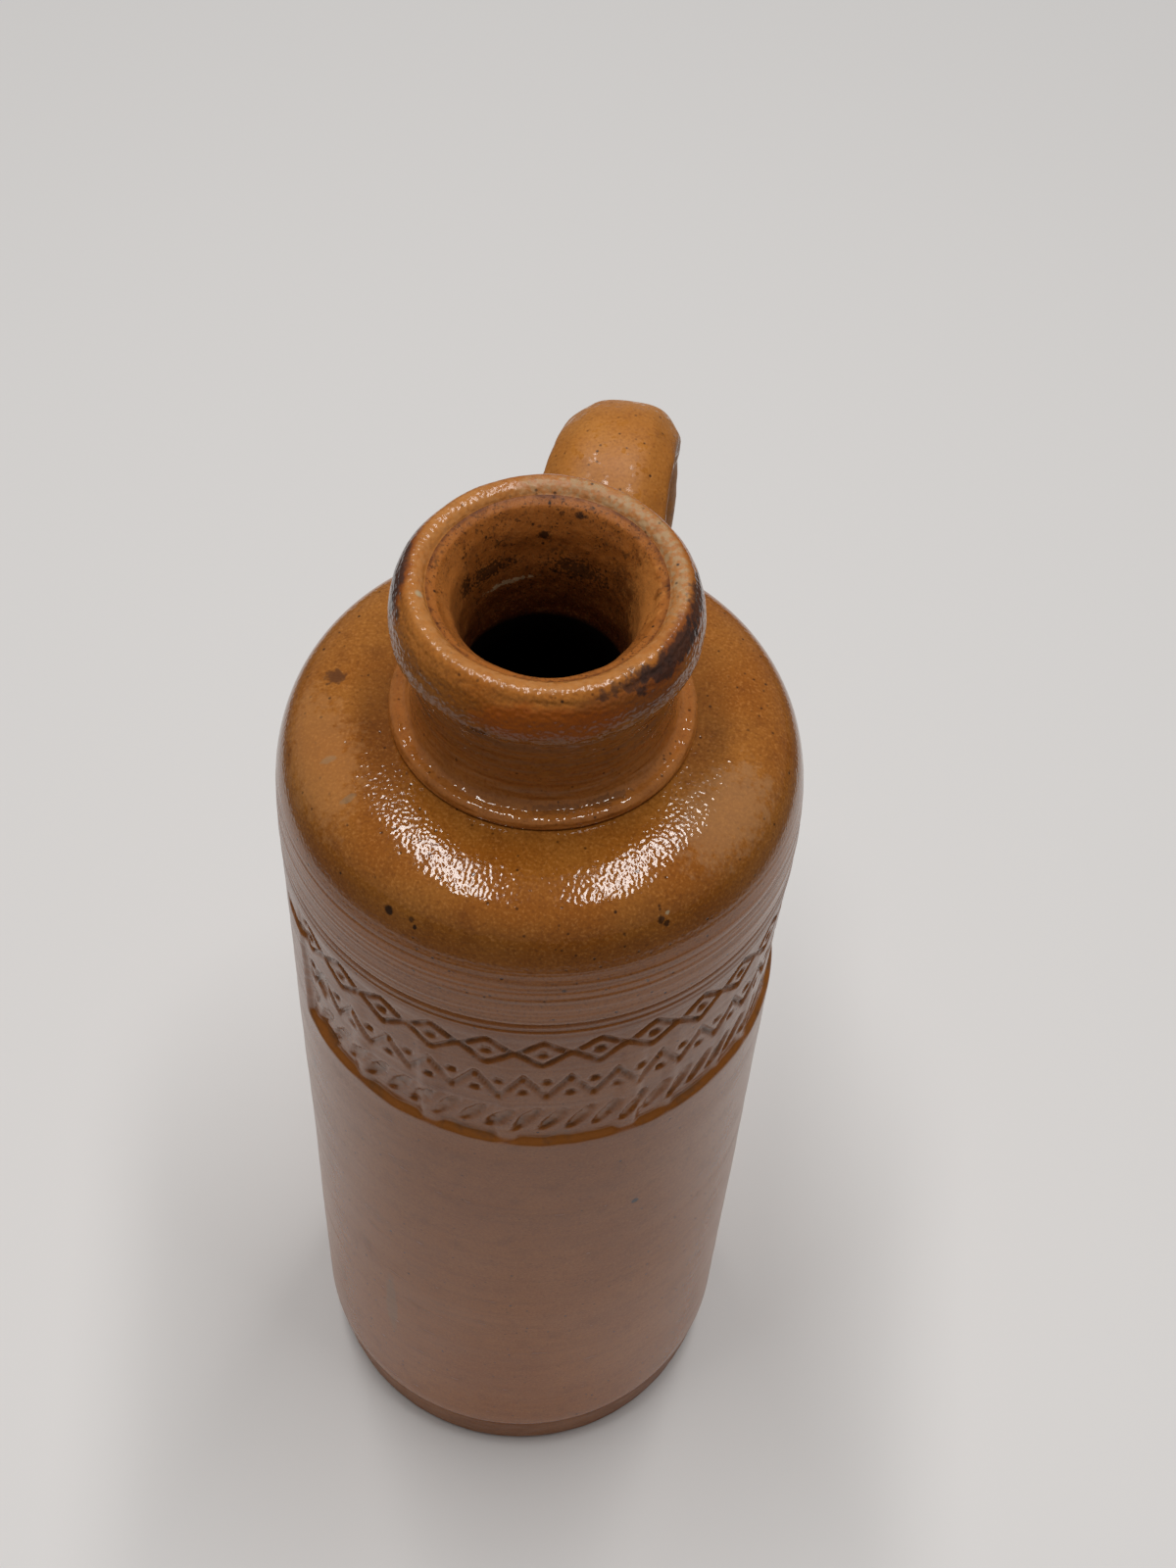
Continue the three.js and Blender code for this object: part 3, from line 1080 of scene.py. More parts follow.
@dataclass
class ShoulderDome(Turned):
    """Rounded shoulder between the turned lines and the cordon."""

    steps: int = 320
    wall: float = 6.5
    bore: float = 33.0
    start: float = 0.55
    crown: float = 13.6
    fall: float = 0.7
    corner: float = 22.0
    hole: float = 18.3

    def __post_init__(self) -> None:
        """Keeps the outside's line from the hole to the wall."""
        start, *rest = self.curve()
        line = Outline(self.levels.body, self.levels.seam).to(*start).bend(*rest, count=120)
        self.slope = line.to(self.hole, self.levels.crown).points[::-1]

    def curve(self) -> list[tuple[float, float]]:
        """Gives the control points of the outside, from the wall to the cordon's seat.

        Returns:
            Four control points.
        """
        at = self.levels
        low = at.seam + self.start
        return [(at.body, low), (at.body, low + self.corner),
                (at.seat + self.crown, at.crown - self.fall), (at.seat, at.crown)]

    def walk(self, across: float, start: float, far: float) -> Vector:
        """Walks along the outside in an upright plane that runs away from the front.

        Args:
            across: place of the plane along X.
            start: place along Y where the walk begins.
            far: length of the walk, towards the wall where positive.

        Returns:
            The point that it reaches.
        """
        run = [Vector((across, math.sqrt(r * r - across * across), z))
               for r, z in self.slope if r > abs(across)]
        reach = reaches(run)
        k = next(i for i, point in enumerate(run) if i and point.y >= start)
        back = (run[k].y - start) / (run[k].y - run[k - 1].y)
        goal = reach[k] - back * (reach[k] - reach[k - 1]) + far
        k = next((i for i, length in enumerate(reach) if i and length >= goal), len(run) - 1)
        return run[k].lerp(run[k - 1], (reach[k] - goal) / (reach[k] - reach[k - 1]))

    def outline(self) -> Outline:
        """Draws the dome with its hole for the neck.

        Returns:
            The profile.
        """
        at = self.levels
        lap = at.body - at.wall_lap + at.slip
        ceiling = at.crown - self.wall
        start, *rest = self.curve()
        line = Outline(lap, at.seam).to(at.body - at.line, at.seam).to(*start, step=0.3)
        line.bend(*rest, count=190).to(self.hole, at.crown, step=1.5).to(self.hole, ceiling)
        line.bend((self.hole + self.crown, ceiling), (self.bore, ceiling),
                  (self.bore, at.lap + at.slip), count=16)
        return line.to(lap, at.lap + at.slip)

    def relief(self, spot: Vector, outer: bool) -> tuple[float, float]:
        """Adds the fine lines below the round of the shoulder.

        Args:
            spot: a point of the mesh.
            outer: whether it lies on the outside.

        Returns:
            How far it moves outwards, and how deep it lies in an impression.
        """
        at = self.levels
        steep = 1 - smooth(spot.z, at.seam + 8.0, at.seam + 16.0)
        start = smooth(spot.z, at.seam + 0.3, at.seam + 1.2)
        lines = Potter.lines(spot) * 3.0 * steep * start if outer else 0.0
        return Potter.wobble(spot) * (1 - smooth(spot.z, at.crown - 6.0, at.crown)) + lines, 0.0

    def is_inside(self, face: bmesh.types.BMFace) -> bool:
        """Tells whether a face looks into the cavity."""
        deep = self.is_within(face, self.levels.body - self.levels.wall_lap)
        return deep and (face.normal.z < -0.05 or super().is_inside(face))


@dataclass
class NeckCollar(Turned):
    """Neck with its cordon, ridged by the potter's fingers.

    Each ridge has its drop below the crease under the lip, and its half height.
    """

    steps: int = 416
    flare: float = 1.5
    tail: float = 18.0
    cordon_height: float = 2.0
    throat: float = 11.7
    throat_drop: float = 10.5
    edge: float = 2.2
    ridges: tuple[tuple[float, float], ...] = ((1.4, 0.7), (4.4, 0.9))

    def outline(self) -> Outline:
        """Draws the neck from its tail over the cordon and down its bore.

        Returns:
            The profile.
        """
        at = self.levels
        seat = at.crown + 0.05
        crown = seat + self.cordon_height
        foot = at.neck + self.flare
        lap = at.neck - at.neck_lap
        step = at.crease + at.lap_height
        line = Outline(self.tail, at.tail).to(self.tail, seat).to(at.cordon - 0.35, seat, step=1.0)
        line.bend((at.cordon + 0.35, seat + 0.1), (at.cordon + 0.2, crown + 0.25),
                  (foot + 0.9, crown), count=12)
        line.bend((foot + 0.35, crown - 0.12), (foot - 0.4, crown + 0.05),
                  (at.neck + 0.55, crown + 1.5), count=16)
        line.bend((at.neck, crown + 3.2), (at.neck, crown + 8.0), count=24)
        line.to(at.neck, at.crease, step=0.25).to(lap, at.crease).to(lap, step).to(at.mouth, step)
        line.bend((self.throat, at.crease - at.lap_height),
                  (self.throat, at.crease - self.throat_drop), count=30)
        return line.bend((self.throat, at.crown), (self.tail - self.edge, at.tail), count=12)

    def relief(self, spot: Vector, outer: bool) -> tuple[float, float]:
        """Adds wavy finger ridges outside and a crusty, uneven bore.

        Args:
            spot: a point of the mesh.
            outer: whether it lies on the outside.

        Returns:
            How far it moves outwards, and how deep it lies in an impression.
        """
        if not outer:
            return Potter.bore(spot), 0.0
        at = self.levels
        band = smooth(spot.z, at.crown + 3.0, at.crown + 5.0) * smooth(at.crease - spot.z, 0.0, 1.0)
        waves = 0.17 * rough(spot, 14.0, 1.2, 2.0) + 0.18 * rough(spot, 26.0, 2.6, 9.0)
        for drop, tall in self.ridges:
            waver = 0.6 * rough((spot.x, spot.y, 0.0), 16.0, 1.0, drop)
            far = (spot.z - at.crease + drop + waver) / tall
            waves += 0.16 * math.exp(-far * far) * (0.7 + 0.8 * rough(spot, 9.0, 3.0, drop))
        return band * waves + 0.05 * rough(spot, 12.0, 6.0), 0.0

    def is_inside(self, face: bmesh.types.BMFace) -> bool:
        """Tells whether a face lies in the bore."""
        return self.is_within(face, self.tail) and super().is_inside(face)


@dataclass
class MouthRing(Turned):
    """Rolled lip with a worn crest and a stepped, bell-shaped mouth."""

    steps: int = 416
    belly: float = 3.8
    slope: float = 3.1
    crest: float = 18.8
    crown: float = 1.7
    step: float = 1.2
    ledge: float = 1.3
    fall: float = 0.7
    soft: float = 3.4
    groove: float = 0.16
    groove_drop: float = 1.25
    groove_width: float = 0.4

    def outline(self) -> Outline:
        """Draws the lip from its underside over the crest and into the mouth.

        Returns:
            The profile.
        """
        at = self.levels
        lap = at.neck - at.neck_lap + at.slip
        inner = at.crease + at.lap_height
        belly = at.crease + self.belly
        step = at.top - self.step
        ledge = at.rim - self.ledge
        line = Outline(lap, at.crease).to(at.neck + 0.1, at.crease, step=0.8)
        line.bend((at.lip - 0.5, at.crease - 0.1), (at.lip, belly - 2.0), (at.lip, belly), count=20)
        line.bend((at.lip, belly + self.slope), (self.crest + self.crown, at.top),
                  (self.crest, at.top), count=34)
        line.bend((self.crest - 1.1, at.top), (at.rim + 0.25, at.top - self.step * 0.45),
                  (at.rim, step), count=9)
        line.bend((at.rim - 0.3, step - 0.1), (ledge, step - self.fall), count=6)
        line.bend((ledge - 0.5, step - self.fall - 0.5), (at.mouth + 0.5, inner + 2.5),
                  (at.mouth, inner), count=26)
        return line.to(lap, inner)

    def settle(self, spot: Vector) -> Vector:
        """Leans the lip a little towards the front.

        Args:
            spot: a point of the mesh.

        Returns:
            Its shift.
        """
        at = self.levels
        low, high = at.crease, at.crease + self.soft
        if radius_of(spot) < at.rim:
            low, high = at.crease + at.lap_height, at.top - self.step - self.fall
        dip = at.lean * (1 + spot.dot(AHEAD) / at.lip)
        return smooth(spot.z, low, high) * (AHEAD * at.shift - Vector((0.0, 0.0, dip)))

    def relief(self, spot: Vector, outer: bool) -> tuple[float, float]:
        """Adds the sagging roll, the groove below the crest and the uneven bell.

        Args:
            spot: a point of the mesh.
            outer: whether it lies on the outside.

        Returns:
            How far it moves outwards, and how deep it lies in an impression.
        """
        at = self.levels
        if not outer:
            return Potter.bore(spot) * smooth(at.top - spot.z, 0.8, 3.0), 0.0
        roll = smooth(spot.z, at.crease, at.crease + 1.5)
        line = (spot.z - at.top + self.groove_drop) / self.groove_width
        groove = self.groove * math.exp(-line * line)
        groove *= smooth(radius_of(spot), self.crest, self.crest + 0.6)
        waver = 0.24 * rough(spot, 9.0, 5.0) + 0.07 * rough(spot, 3.0, 1.3)
        waver += 0.14 * rough(spot, 5.0, 1.6, 6.0) * (1 - smooth(spot.z, at.crease + 3.0, at.crease + 6.0))
        return roll * waver - groove * (0.7 + 0.6 * rough(spot, 8.0, 8.0, 2.0)), 0.0

    def is_inside(self, face: bmesh.types.BMFace) -> bool:
        """Tells whether a face lies inside the step of the mouth."""
        return self.is_within(face, self.levels.rim) and super().is_inside(face)


@dataclass
class Station:
    """One cross-section of the strap, by its centre and the way that the strap runs there."""

    centre: Vector
    ahead: Vector


@dataclass
class HandleStrap(Fired):
    """Looped strap of oval section between the shoulder and the wall.

    Each facet has the way that it faces round the section, in degrees, and its share of the full reach.
    """

    levels: Levels
    width: float = 16.6
    thickness: float = 10.0
    flare: float = 3.6
    standoff: float = 8.7
    drop: float = 6.7
    rise: float = 14.4
    lower_reach: float = 12.0
    lower_rise: float = 6.0
    root_drop: float = 34.0
    bury: float = 6.0
    facets: tuple[tuple[float, float], ...] = ((92.0, 0.98), (34.0, 0.94), (150.0, 0.94))
    ridge: float = 40.0
    full_sides: float = 0.92
    full_under: float = 0.86
    sides: int = 72
    count: int = 110

    def __post_init__(self) -> None:
        """Sets the loop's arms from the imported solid."""
        high = self.node.corners()[1]
        self.outer = high.y - self.thickness / 2
        self.inner = self.levels.seat + self.standoff
        self.middle = (self.inner + self.outer) / 2
        self.spring = high.z - self.thickness / 2 - self.rise

    def line(self) -> list[Vector]:
        """Draws the strap's middle line from the shoulder to the wall.

        Returns:
            Its points.
        """
        body = self.levels.body
        arm_up = QUARTER_ARM * self.rise
        arm_across = QUARTER_ARM * (self.outer - self.inner) / 2
        crest = self.spring + self.rise
        low = self.spring - self.root_drop
        line = Outline(self.inner, self.spring - self.bury).to(self.inner, self.spring, step=0.5)
        line.bend((self.inner, self.spring + arm_up), (self.middle - arm_across, crest),
                  (self.middle, crest), count=60)
        line.bend((self.middle + arm_across, crest), (self.outer, self.spring + arm_up),
                  (self.outer, self.spring), count=60)
        line.bend((self.outer, self.spring - self.root_drop / 2),
                  (body + self.lower_reach, low + self.lower_rise), (body - self.bury, low), count=90)
        return [Vector((0.0, y, z)) for y, z in line.points]

    def path(self) -> list[Station]:
        """Gives evenly spaced cross-sections along the strap.

        Returns:
            The stations, from the shoulder to the wall.
        """
        points = self.line()
        far = reaches(points)
        stations, k = [], 0
        for i in range(self.count + 1):
            goal = far[-1] * i / self.count
            while k < len(points) - 2 and far[k + 1] < goal:
                k += 1
            t = (goal - far[k]) / max(1e-9, far[k + 1] - far[k])
            ahead = (points[min(k + 2, len(points) - 1)] - points[max(k - 1, 0)]).normalized()
            stations.append(Station(points[k].lerp(points[k + 1], t), ahead))
        return stations

    def ring(self, station: Station, k: int) -> Vector:
        """Gives one point of a cross-section, pared a little flat by the maker's fingers.

        Args:
            station: the cross-section.
            k: number of the point round it.

        Returns:
            The point.
        """
        turn = math.tau * k / self.sides
        crowd = 1.0
        for facing, far in self.facets:
            crowd += max(0.0, math.cos(turn - math.radians(facing)) / far) ** self.ridge
        reach = crowd ** (-1 / self.ridge)
        across, out = reach * math.cos(turn), reach * math.sin(turn)
        across = math.copysign(abs(across) ** self.full_sides, across)
        out = out if out > 0 else -(-out) ** self.full_under
        near = max(0.0, (self.outer - station.centre.y) / (self.outer - self.levels.body))
        half = (self.width + self.flare * near) / 2
        normal = Vector((0.0, -station.ahead.z, station.ahead.y))
        point = station.centre + Vector((across * half, 0, 0)) + normal * (out * self.thickness / 2)
        waver = 0.45 * rough(point, 10.0, 10.0) + 0.12 * rough(point, 3.0, 3.0)
        return point + (point - station.centre).normalized() * waver

    def build(self, finish: bpy.types.Material) -> bpy.types.Object:
        """Draws the strap out along its path.

        Args:
            finish: its glaze.

        Returns:
            The object.
        """
        bm = bmesh.new()
        made = bmesh.ops.create_circle(bm, cap_ends=True, radius=1.0, segments=self.sides)
        ring = list(made["verts"])
        for index, station in enumerate(self.path()):
            ring = drawn_out(bm, ring) if index else ring
            for k, vert in enumerate(ring):
                vert.co = self.ring(station, k)
        bmesh.ops.contextual_create(bm, geom=ring_edges(bm, ring))
        bmesh.ops.recalc_face_normals(bm, faces=bm.faces)
        return self.place(bm, [finish])


@dataclass
class Luting(Fired):
    """Soft clay worked into a fillet round one root of the strap."""

    strap: HandleStrap
    spread: float = 3.0
    rise: float = 4.2
    tuck: float = 0.7
    sink: float = 0.8
    heel: float = 1.5
    slack: float = 1.06
    ragged: float = 0.18
    sides: int = 96
    bands: int = 9

    def seat(self, across: float, along: float, high: float) -> Vector:
        """Gives a point over the body, across and along from the root's middle."""
        raise NotImplementedError

    def section(self) -> list[tuple[float, float]]:
        """Draws the fillet from the strap to the body and back underneath.

        Returns:
            Pairs of distance from the strap and height over the body.
        """
        turns = [math.pi / 2 * i / self.bands for i in range(self.bands + 1)]
        reach = self.spread + self.tuck
        fillet = [(reach * (1 - math.cos(t)) - self.tuck, self.rise * (1 - math.sin(t))) for t in turns]
        return fillet + [(self.spread, -self.sink), (-self.heel, -self.sink), (-self.heel, self.rise * 0.9)]

    def build(self, finish: bpy.types.Material) -> bpy.types.Object:
        """Works the clay round the root.

        Args:
            finish: its glaze.

        Returns:
            The object.
        """
        wide = (self.strap.width + self.strap.flare) / 2
        deep = self.strap.thickness / 2 * self.slack
        bm = bmesh.new()
        made = bmesh.ops.create_circle(bm, cap_ends=False, radius=1.0, segments=self.sides)
        ring = first = list(made["verts"])
        for index, (out, high) in enumerate(self.section()):
            ring = drawn_out(bm, ring) if index else ring
            for k, vert in enumerate(ring):
                turn = math.tau * k / self.sides
                across, along = math.cos(turn), math.sin(turn)
                far = out * (1 + self.ragged * rough((across, along, self.rise), 0.5, 1.0))
                vert.co = self.seat(across * (wide + far), along * (deep + far), high)
        bmesh.ops.bridge_loops(bm, edges=ring_edges(bm, ring) + ring_edges(bm, first))
        bmesh.ops.recalc_face_normals(bm, faces=bm.faces)
        return self.place(bm, [finish])


@dataclass(kw_only=True)
class UpperLuting(Luting):
    """Clay round the root on the shoulder."""

    dome: ShoulderDome
    sink_in: float = 1.4

    def seat(self, across: float, along: float, high: float) -> Vector:
        """Gives a point over the shoulder, leaning with the strap.

        Args:
            across: distance along X.
            along: distance down the shoulder from the root's middle.
            high: height above the clay.

        Returns:
            The point.
        """
        turn = math.asin((self.strap.drop - self.sink_in) / self.strap.rise)
        span = (self.strap.outer - self.strap.inner) / 2
        start = self.strap.middle - span * math.cos(turn)
        up = Vector((0.0, math.tan(turn), 1.0)) if high > 0 else Vector((0.0, 0.7, 0.7))
        return self.dome.walk(across, start, along / math.cos(turn)) + up * high


@dataclass
class LowerLuting(Luting):
    """Clay round the root on the wall."""

    lift: float = 2.4
    lean: float = 24.0

    def seat(self, across: float, along: float, high: float) -> Vector:
        """Gives a point over the wall, leaning with the strap.

        Args:
            across: distance along X.
            along: distance up the wall from the root's middle.
            high: height above the clay.

        Returns:
            The point.
        """
        lean = math.radians(self.lean)
        middle = self.strap.spring - self.strap.root_drop + self.lift
        radius = self.strap.levels.body
        z = middle + along / math.cos(lean) + max(0.0, high) * math.tan(lean)
        return Vector((across, math.sqrt(max(1.0, radius * radius - across * across)) + high, z))


@dataclass(frozen=True)
class Lamp:
    """A long lamp that hangs on either side above the bottle, in metres, degrees and watts."""

    across: float = 0.25
    back: float = 0.135
    height: float = 1.3
    splay: float = 5.0
    width: float = 0.12
    length: float = 0.83
    power: float = 6.3
    tint: Colour = (1.0, 0.985, 0.96)

    def hang(self, name: str, side: int) -> None:
        """Hangs the lamp on one side.

        Args:
            name: name of that lamp.
            side: -1 for the left and 1 for the right.
        """
        data = bpy.data.lights.new(name, "AREA")
        data.shape = "RECTANGLE"
        data.size = self.width
        data.size_y = self.length
        data.energy = self.power
        data.color = self.tint
        lamp = bpy.data.objects.new(name, data)
        spot = Matrix.Translation((side * self.across, self.back, self.height))
        splay = Matrix.Rotation(math.radians(side * self.splay), 4, "Z")
        lamp.matrix_world = Matrix.Rotation(FRONT, 4, "Z") @ spot @ splay
        bpy.context.scene.collection.objects.link(lamp)


@dataclass
class Studio:
    """Plain floor, a long lamp on either side, a dim room and the camera, in millimetres and degrees.

    The sheet and the distance are the starts and ends of the floor's two changes of tone.
    """

    eye: float = 201.1
    eye_height: float = 435.8
    yaw: float = -2.08
    pitch: float = 52.72
    roll: float = 3.935
    lens: float = 49.93
    lamp: Lamp = Lamp()
    room: float = 0.175
    room_tint: Colour = (1.0, 0.985, 0.97)
    floor_half: float = 4000.0
    sheet: tuple[float, float] = (220.0, 280.0)
    distance: tuple[float, float] = (400.0, 1000.0)
    floor_tone: Colour = (0.80, 0.79, 0.79)
    bench_tone: Colour = (0.14, 0.137, 0.134)
    far_tone: Colour = (0.63, 0.62, 0.613)

    def floor_finish(self) -> bpy.types.Material:
        """Makes the floor's matt finish.

        The lamps' light falls off away from the bottle, so the camera sees an even pale tone there.
        In the glaze the pale floor ends a hand's length in front, as a sheet on a darker bench would.

        Returns:
            The finish.
        """
        graph = Graph(bpy.data.materials.new("pale_floor"))
        place = graph.moved("TEXTURE", {"Rotation": (0.0, 0.0, FRONT)})
        across = graph.part("X", place)
        ahead = graph.part("Y", place).least(0.0)
        far = graph.math("SQRT", across * across + ahead * ahead)
        seen = graph.value("ShaderNodeLightPath", "Is Camera Ray", {})
        bench = far.step(*self.sheet) * (1.0 - seen)
        away = graph.radius().step(*self.distance) * seen
        tone = graph.lay(away, graph.lay(bench, self.floor_tone, self.bench_tone), BLACK)
        glow = graph.lay(away, BLACK, self.far_tone)
        return graph.finish(tone, 0.55, graph.cloud(3.0, 1.0) * 0.002, glow=glow)

    def floor(self) -> None:
        """Lays the pale floor."""
        bm = bmesh.new()
        bmesh.ops.create_grid(bm, x_segments=1, y_segments=1, size=self.floor_half * MM)
        mesh = bpy.data.meshes.new("floor")
        bm.to_mesh(mesh)
        bm.free()
        mesh.materials.append(self.floor_finish())
        floor = bpy.data.objects.new("floor", mesh)
        bpy.context.scene.collection.objects.link(floor)

    def lamps(self) -> None:
        """Hangs a lamp on both sides, running away from the camera."""
        self.lamp.hang("lamp_left", -1)
        self.lamp.hang("lamp_right", 1)

    def surroundings(self) -> None:
        """Sets the dim, even light of the room, which the camera sees as a pale backdrop."""
        world = bpy.data.worlds.new("room")
        graph = Graph(world)
        seen = graph.value("ShaderNodeLightPath", "Is Camera Ray", {})
        strength = seen * (self.far_tone[0] - self.room) + self.room
        light = {"Color": self.room_tint, "Strength": strength}
        back = graph.value("ShaderNodeBackground", "Background", light)
        graph.node("ShaderNodeOutputWorld", {"Surface": back})
        bpy.context.scene.world = world

    def camera(self) -> None:
        """Sets the camera where the photograph was taken from."""
        data = bpy.data.cameras.new("camera")
        data.lens = self.lens
        data.sensor_width = 36.0
        data.clip_start = 0.01
        eye = bpy.data.objects.new("camera", data)
        spot = Matrix.Rotation(FRONT, 4, "Z") @ Vector((0.0, -self.eye * MM, self.eye_height * MM))
        aim = Matrix.Rotation(FRONT + math.radians(self.yaw), 4, "Z")
        aim @= Matrix.Rotation(math.radians(90 - self.pitch), 4, "X")
        aim @= Matrix.Rotation(math.radians(self.roll), 4, "Z")
        eye.matrix_world = Matrix.Translation(spot) @ aim
        bpy.context.scene.collection.objects.link(eye)
        bpy.context.scene.camera = eye

    def build(self) -> None:
        """Sets up the whole studio."""
        self.floor()
        self.lamps()
        self.surroundings()
        self.camera()
        bpy.context.scene.view_settings.view_transform = "Standard"


@dataclass
class Finishes:
    """The glazes of the bottle."""

    levels: Levels

    def foot(self) -> bpy.types.Material:
        """Makes the dull glaze of the foot, darkened as painted shade for the shadowed floor that it faces.
        """
        # Painted shade: these colours are darker than the wall's.
        return Glaze("foot_glaze", (0.29, 0.102, 0.025), (0.25, 0.080, 0.017), (0.12, 0.036, 0.007),
                     gloss=0.45, peel=0.05, specks=0.6, index=1.33).make()

    def wall(self) -> bpy.types.Material:
        """Makes the streaked glaze of the wall.

        Returns:
            The glaze.
        """
        body = self.levels.body
        marks = (
            Mark(27.9, body, 102.8, 0.7, 0.9, BLUE_BLACK, ragged=0.3),
            Mark(-36.8, body, 50.0, 1.4, 13.0, ASH, strength=0.30, grain=4.0),
            Mark(-64.0, body, 113.8, 0.5, 1.6, DARK_IRON, ragged=0.3),
        )
        return Glaze("wall_glaze", (0.42, 0.136, 0.021), (0.38, 0.115, 0.015), (0.19, 0.051, 0.007),
                     gloss=0.22, peel=0.020, streak=0.25, specks=0.35, index=1.46, marks=marks).make()

    def shoulder(self) -> bpy.types.Material:
        """Makes the amber glaze of the shoulder.

        Returns:
            The glaze.
        """
        top = self.levels.crown
        marks = (
            Mark(-98.9, 31.2, top - 0.8, 1.6, 3.0, BURNT, 0.85, ragged=0.9, depth=1.6),
            Mark(-32.1, 38.2, top - 6.4, 0.75, 0.9, DARK_IRON, ragged=0.35, grain=0.8, depth=0.8),
            Mark(-26.6, 38.1, top - 6.0, 0.45, 0.55, DARK_IRON, 0.7, grain=0.6, depth=0.6),
            Mark(-25.6, 38.4, top - 7.0, 0.35, 0.5, DARK_IRON, ragged=0.4, grain=0.6, depth=0.5),
            Mark(27.8, 37.6, top - 5.1, 0.6, 0.7, DARK_IRON, 0.8, ragged=0.8, grain=0.5, depth=0.8),
            Mark(28.9, 37.8, top - 5.9, 0.5, 0.6, DARK_IRON, 0.8, ragged=0.8, grain=0.5, depth=0.7),
            Mark(29.6, 37.3, top - 4.4, 0.35, 0.4, CHIP, 0.8, ragged=0.8, grain=0.4, depth=0.4),
            Mark(-70.9, 32.2, top - 1.0, 0.7, 2.0, ASH, 0.6, ragged=0.6, depth=1.2),
            Mark(-57.1, 32.1, top - 1.0, 0.6, 2.0, ASH, 0.5, ragged=0.6, depth=1.4),
            Mark(56.0, 31.6, top - 0.9, 10.0, 6.0, HAZE, 0.45, ragged=0.9, grain=1.3),
            Mark(-74.0, 33.0, top - 2.2, 13.0, 6.0, PALE_HAZE, 0.4, ragged=0.9, grain=1.3),
        )
        # The skirt below the round is a brighter orange: partly the glaze's own deeper tone, partly painted
        # light for the lower shoulder, which the lamps light less.
        return Glaze("shoulder_glaze", (0.338, 0.125, 0.020), (0.282, 0.087, 0.009), (0.15, 0.042, 0.006),
                     gloss=0.08, peel=0.056, grain=0.60, streak=0.35, specks=0.9, calm=top - 8.7,
                     mottle=0.36, skirt=(0.49, 0.160, 0.026), marks=marks).make()

    def neck(self) -> bpy.types.Material:
        """Makes the glaze of the neck, which looks darker in the lip's shade; its colours are lifted as
        painted light.

        Returns:
            The glaze.
        """
        corner = self.levels.crown + 2.3
        marks = (
            # Darker patches along the corner between the neck and the cordon.
            Mark(6.0, 20.4, corner, 4.0, 0.5, CORNER_DARK, 0.35, ragged=1.2, grain=0.8, depth=0.9),
            Mark(27.0, 20.4, corner, 4.0, 0.5, CORNER_DARK, 0.4, ragged=1.2, grain=0.8, depth=0.9),
        )
        # Painted light: these colours are lifted above the shoulder's against the shade under the lip.
        return Glaze("neck_glaze", (0.55, 0.200, 0.042), (0.50, 0.165, 0.028), (0.25, 0.076, 0.013),
                     gloss=0.06, peel=0.06, grain=0.7, streak=0.25, specks=0.8, index=1.54, ribs=0.60,
                     marks=marks).make()

    def lip(self) -> bpy.types.Material:
        """Makes the scorched and worn glaze of the lip.

        Returns:
            The glaze.
        """
        top = self.levels.top
        marks = (
            Mark(34.0, 21.2, top - 4.5, 11.0, 3.4, RUST, 0.6, ragged=0.4, grain=5.0, depth=3.0),
            Mark(-99.0, 20.4, top - 2.4, 14.0, 3.6, RUST, 0.75, ragged=0.6, grain=3.0, depth=2.2),
            Mark(-99.0, 20.5, top - 2.2, 11.5, 2.8, SCORCH, 0.85, ragged=1.1, grain=2.4, depth=1.9),
            Mark(66.0, 20.6, top - 2.4, 15.0, 2.8, RUST, 0.7, ragged=0.6, grain=3.0, depth=2.4),
            Mark(56.0, 20.5, top - 2.6, 8.5, 2.0, SCORCH, 0.85, ragged=1.3, grain=1.5, depth=1.6),
            Mark(85.0, 20.4, top - 2.4, 6.5, 2.0, SCORCH, 0.8, ragged=1.2, grain=1.5, depth=1.5),
            Mark(36.0, 20.0, top - 2.4, 6.0, 1.2, SCORCH, 0.7, ragged=1.3, grain=1.3, depth=1.3),
            Mark(2.0, 21.4, top - 6.0, 14.0, 3.2, FLASHED, 0.8, grain=4.0, depth=3.0),
            Mark(-22.0, 21.2, top - 9.2, 3.2, 1.5, CHAR, ragged=0.8, depth=2.0),
            Mark(30.0, 20.2, top - 10.6, 6.0, 1.2, CHAR, ragged=0.8, depth=2.0),
            Mark(-77.3, 17.5, top - 0.5, 1.0, 0.9, CHIP, ragged=0.4, depth=0.8),
            Mark(66.5, 17.9, top - 0.3, 0.7, 0.8, DARK_IRON, ragged=0.6, depth=0.6),
        )
        return LipGlaze("lip_glaze", (0.41, 0.145, 0.024), (0.36, 0.106, 0.011), (0.16, 0.045, 0.007),
                        gloss=0.14, peel=0.14, grain=0.65, specks=0.7, index=1.40, ribs=0.10,
                        marks=marks, levels=self.levels).make()

    def handle(self) -> bpy.types.Material:
        """Makes the yellower, duller glaze of the handle."""
        return Glaze("handle_glaze", (0.45, 0.180, 0.034), (0.42, 0.150, 0.022), (0.22, 0.07, 0.012),
                     gloss=0.50, peel=0.05, grain=1.1, specks=1.0, index=1.37, mottle=0.35,
                     patchy=0.35).make()

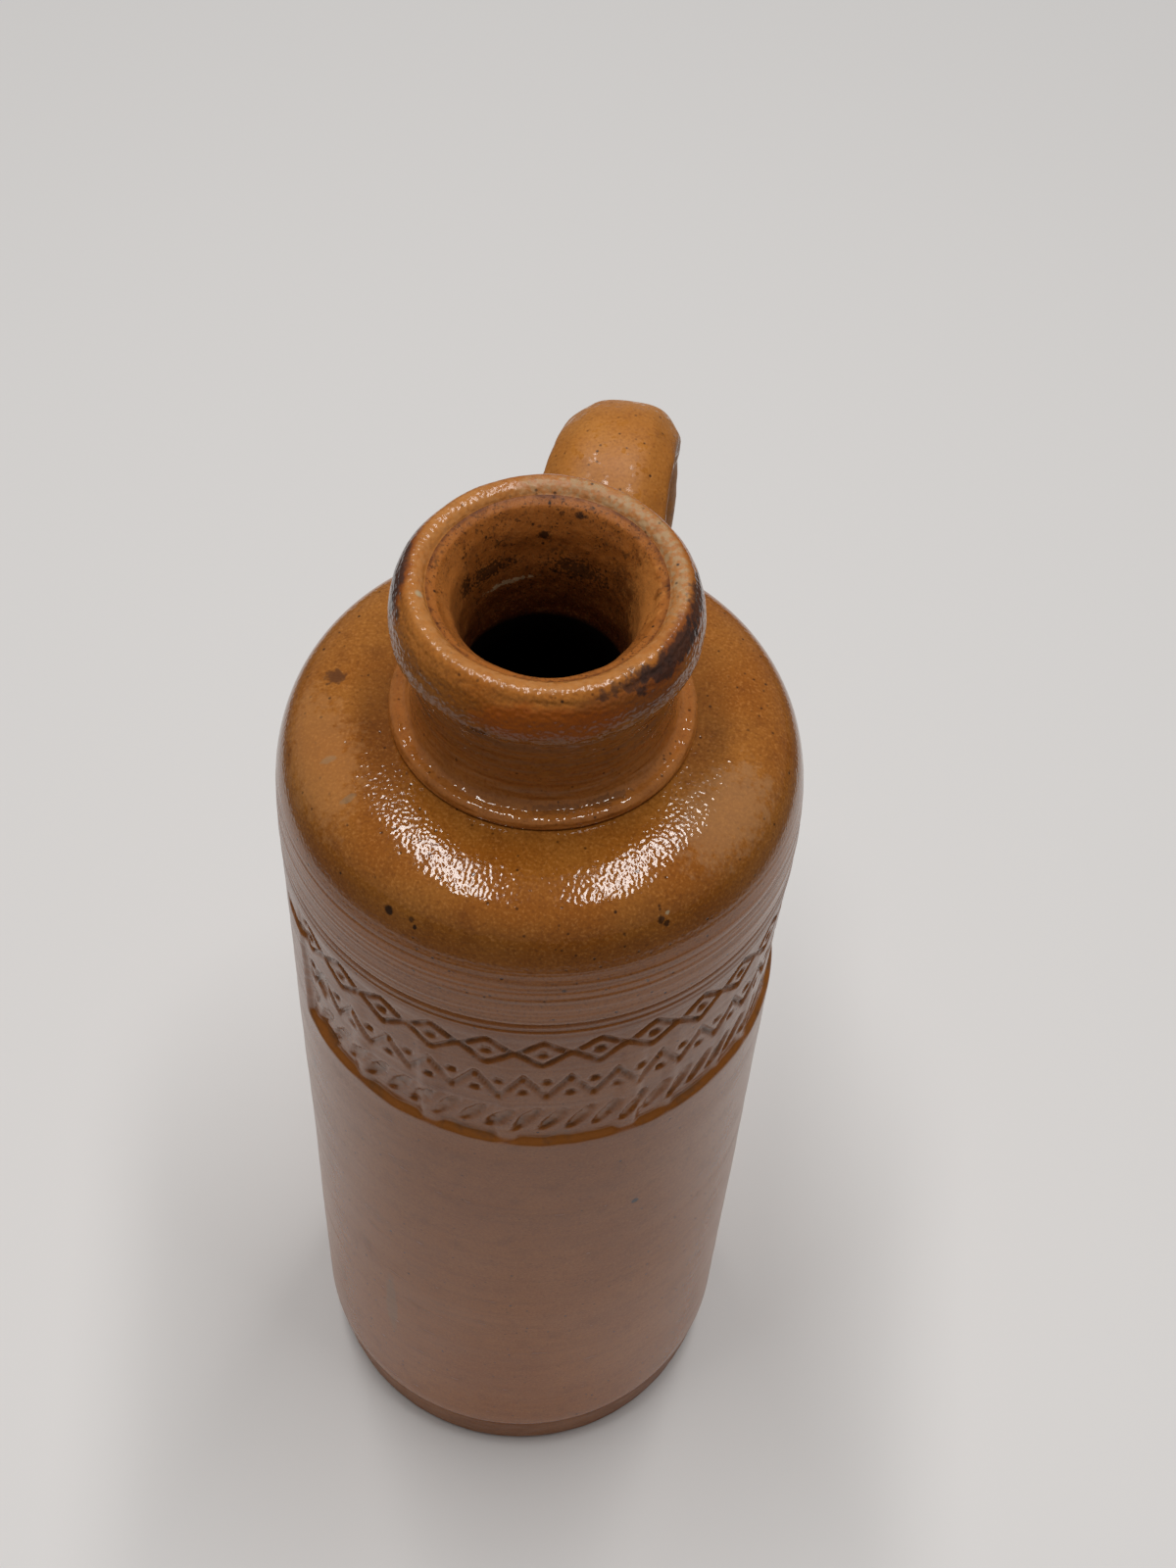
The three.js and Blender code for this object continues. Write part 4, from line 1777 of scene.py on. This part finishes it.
    def throat(self) -> bpy.types.Material:
        """Makes the brown of the mouth and throat, with its dirt, its painted light and its painted shade.

        Returns:
            The finish of the mouth.
        """
        at = self.levels
        marks = (
            # Painted light on the right and left inner walls of the mouth, where the lamps shine in.
            Mark(95.0, 13.8, at.top - 8.0, 9.0, 6.5, PAINTED_BORE_LIGHT, 0.65, ragged=0.8, grain=1.6, depth=3.0),
            Mark(-95.0, 13.8, at.top - 7.5, 8.0, 6.0, PAINTED_DIM_BORE_LIGHT, 0.40, ragged=0.8, grain=1.6, depth=3.0),
            Crust(-138.0, 12.6, at.top - 10.2, 4.0, 1.3),
            Crust(-114.0, 12.6, at.top - 9.5, 1.4, 1.6, ragged=2.0),
            Crust(160.0, 12.6, at.top - 11.7, 4.5, 1.6, strength=0.70),
            Crust(120.0, 12.6, at.top - 9.0, 4.0, 2.2, strength=0.35),
            Crust(-176.0, 12.6, at.top - 6.4, 1.0, 0.7, strength=0.85, ragged=0.9, grain=0.7),
            Crust(163.0, 13.4, at.top - 2.9, 1.1, 0.5, strength=0.85, ragged=0.9, grain=0.7),
            Mark(-150.0, 12.4, at.top - 13.7, 4.0, 0.4, CHIP, 0.55, ragged=1.6, grain=0.6, depth=2.5),
        )
        return Throat("throat_glaze", (0.35, 0.112, 0.018), (0.09, 0.020, 0.003), top=at.top - 3.5,
                      bottom=at.crease - 10.4, rim=at.rim, shift=at.shift, marks=marks).make()

    def cavity(self) -> bpy.types.Material:
        """Makes the raw clay of the inside, darkened to near black as painted shade."""
        return Throat("cavity_clay_and_shade", RAW_CLAY_AND_SHADE, (0.006, 0.003, 0.002), top=180.0, bottom=60.0,
                      pale=RAW_CLAY_AND_SHADE).make()


def main() -> None:
    """Builds the bottle piece by piece, then the studio."""
    logging.basicConfig(level=logging.INFO, format="%(name)s %(message)s")
    levels = Levels.measured()
    finishes = Finishes(levels)
    throat, cavity, handle = finishes.throat(), finishes.cavity(), finishes.handle()
    BaseDisc("chamfered_base", Clay.BASE, Slot.FOOT, levels).build(finishes.foot(), cavity)
    BodyTube("turned_wall", Clay.TUBE, Slot.WALL, levels).build(finishes.wall(), cavity)
    dome = ShoulderDome("round_shoulder", Clay.DOME, Slot.SHOULDER, levels)
    dome.build(finishes.shoulder(), cavity)
    NeckCollar("corded_neck", Clay.NECK, Slot.NECK, levels).build(finishes.neck(), throat)
    MouthRing("rolled_lip", Clay.LIP, Slot.LIP, levels).build(finishes.lip(), throat)
    strap = HandleStrap("strap_ear", Clay.STRAP, Slot.HANDLE, levels)
    strap.build(handle)
    UpperLuting("upper_root_clay", Clay.UPPER, Slot.HANDLE, strap, dome=dome).build(handle)
    LowerLuting("lower_root_clay", Clay.LOWER, Slot.HANDLE, strap).build(handle)
    Studio().build()


if __name__ == "__main__":
    main()
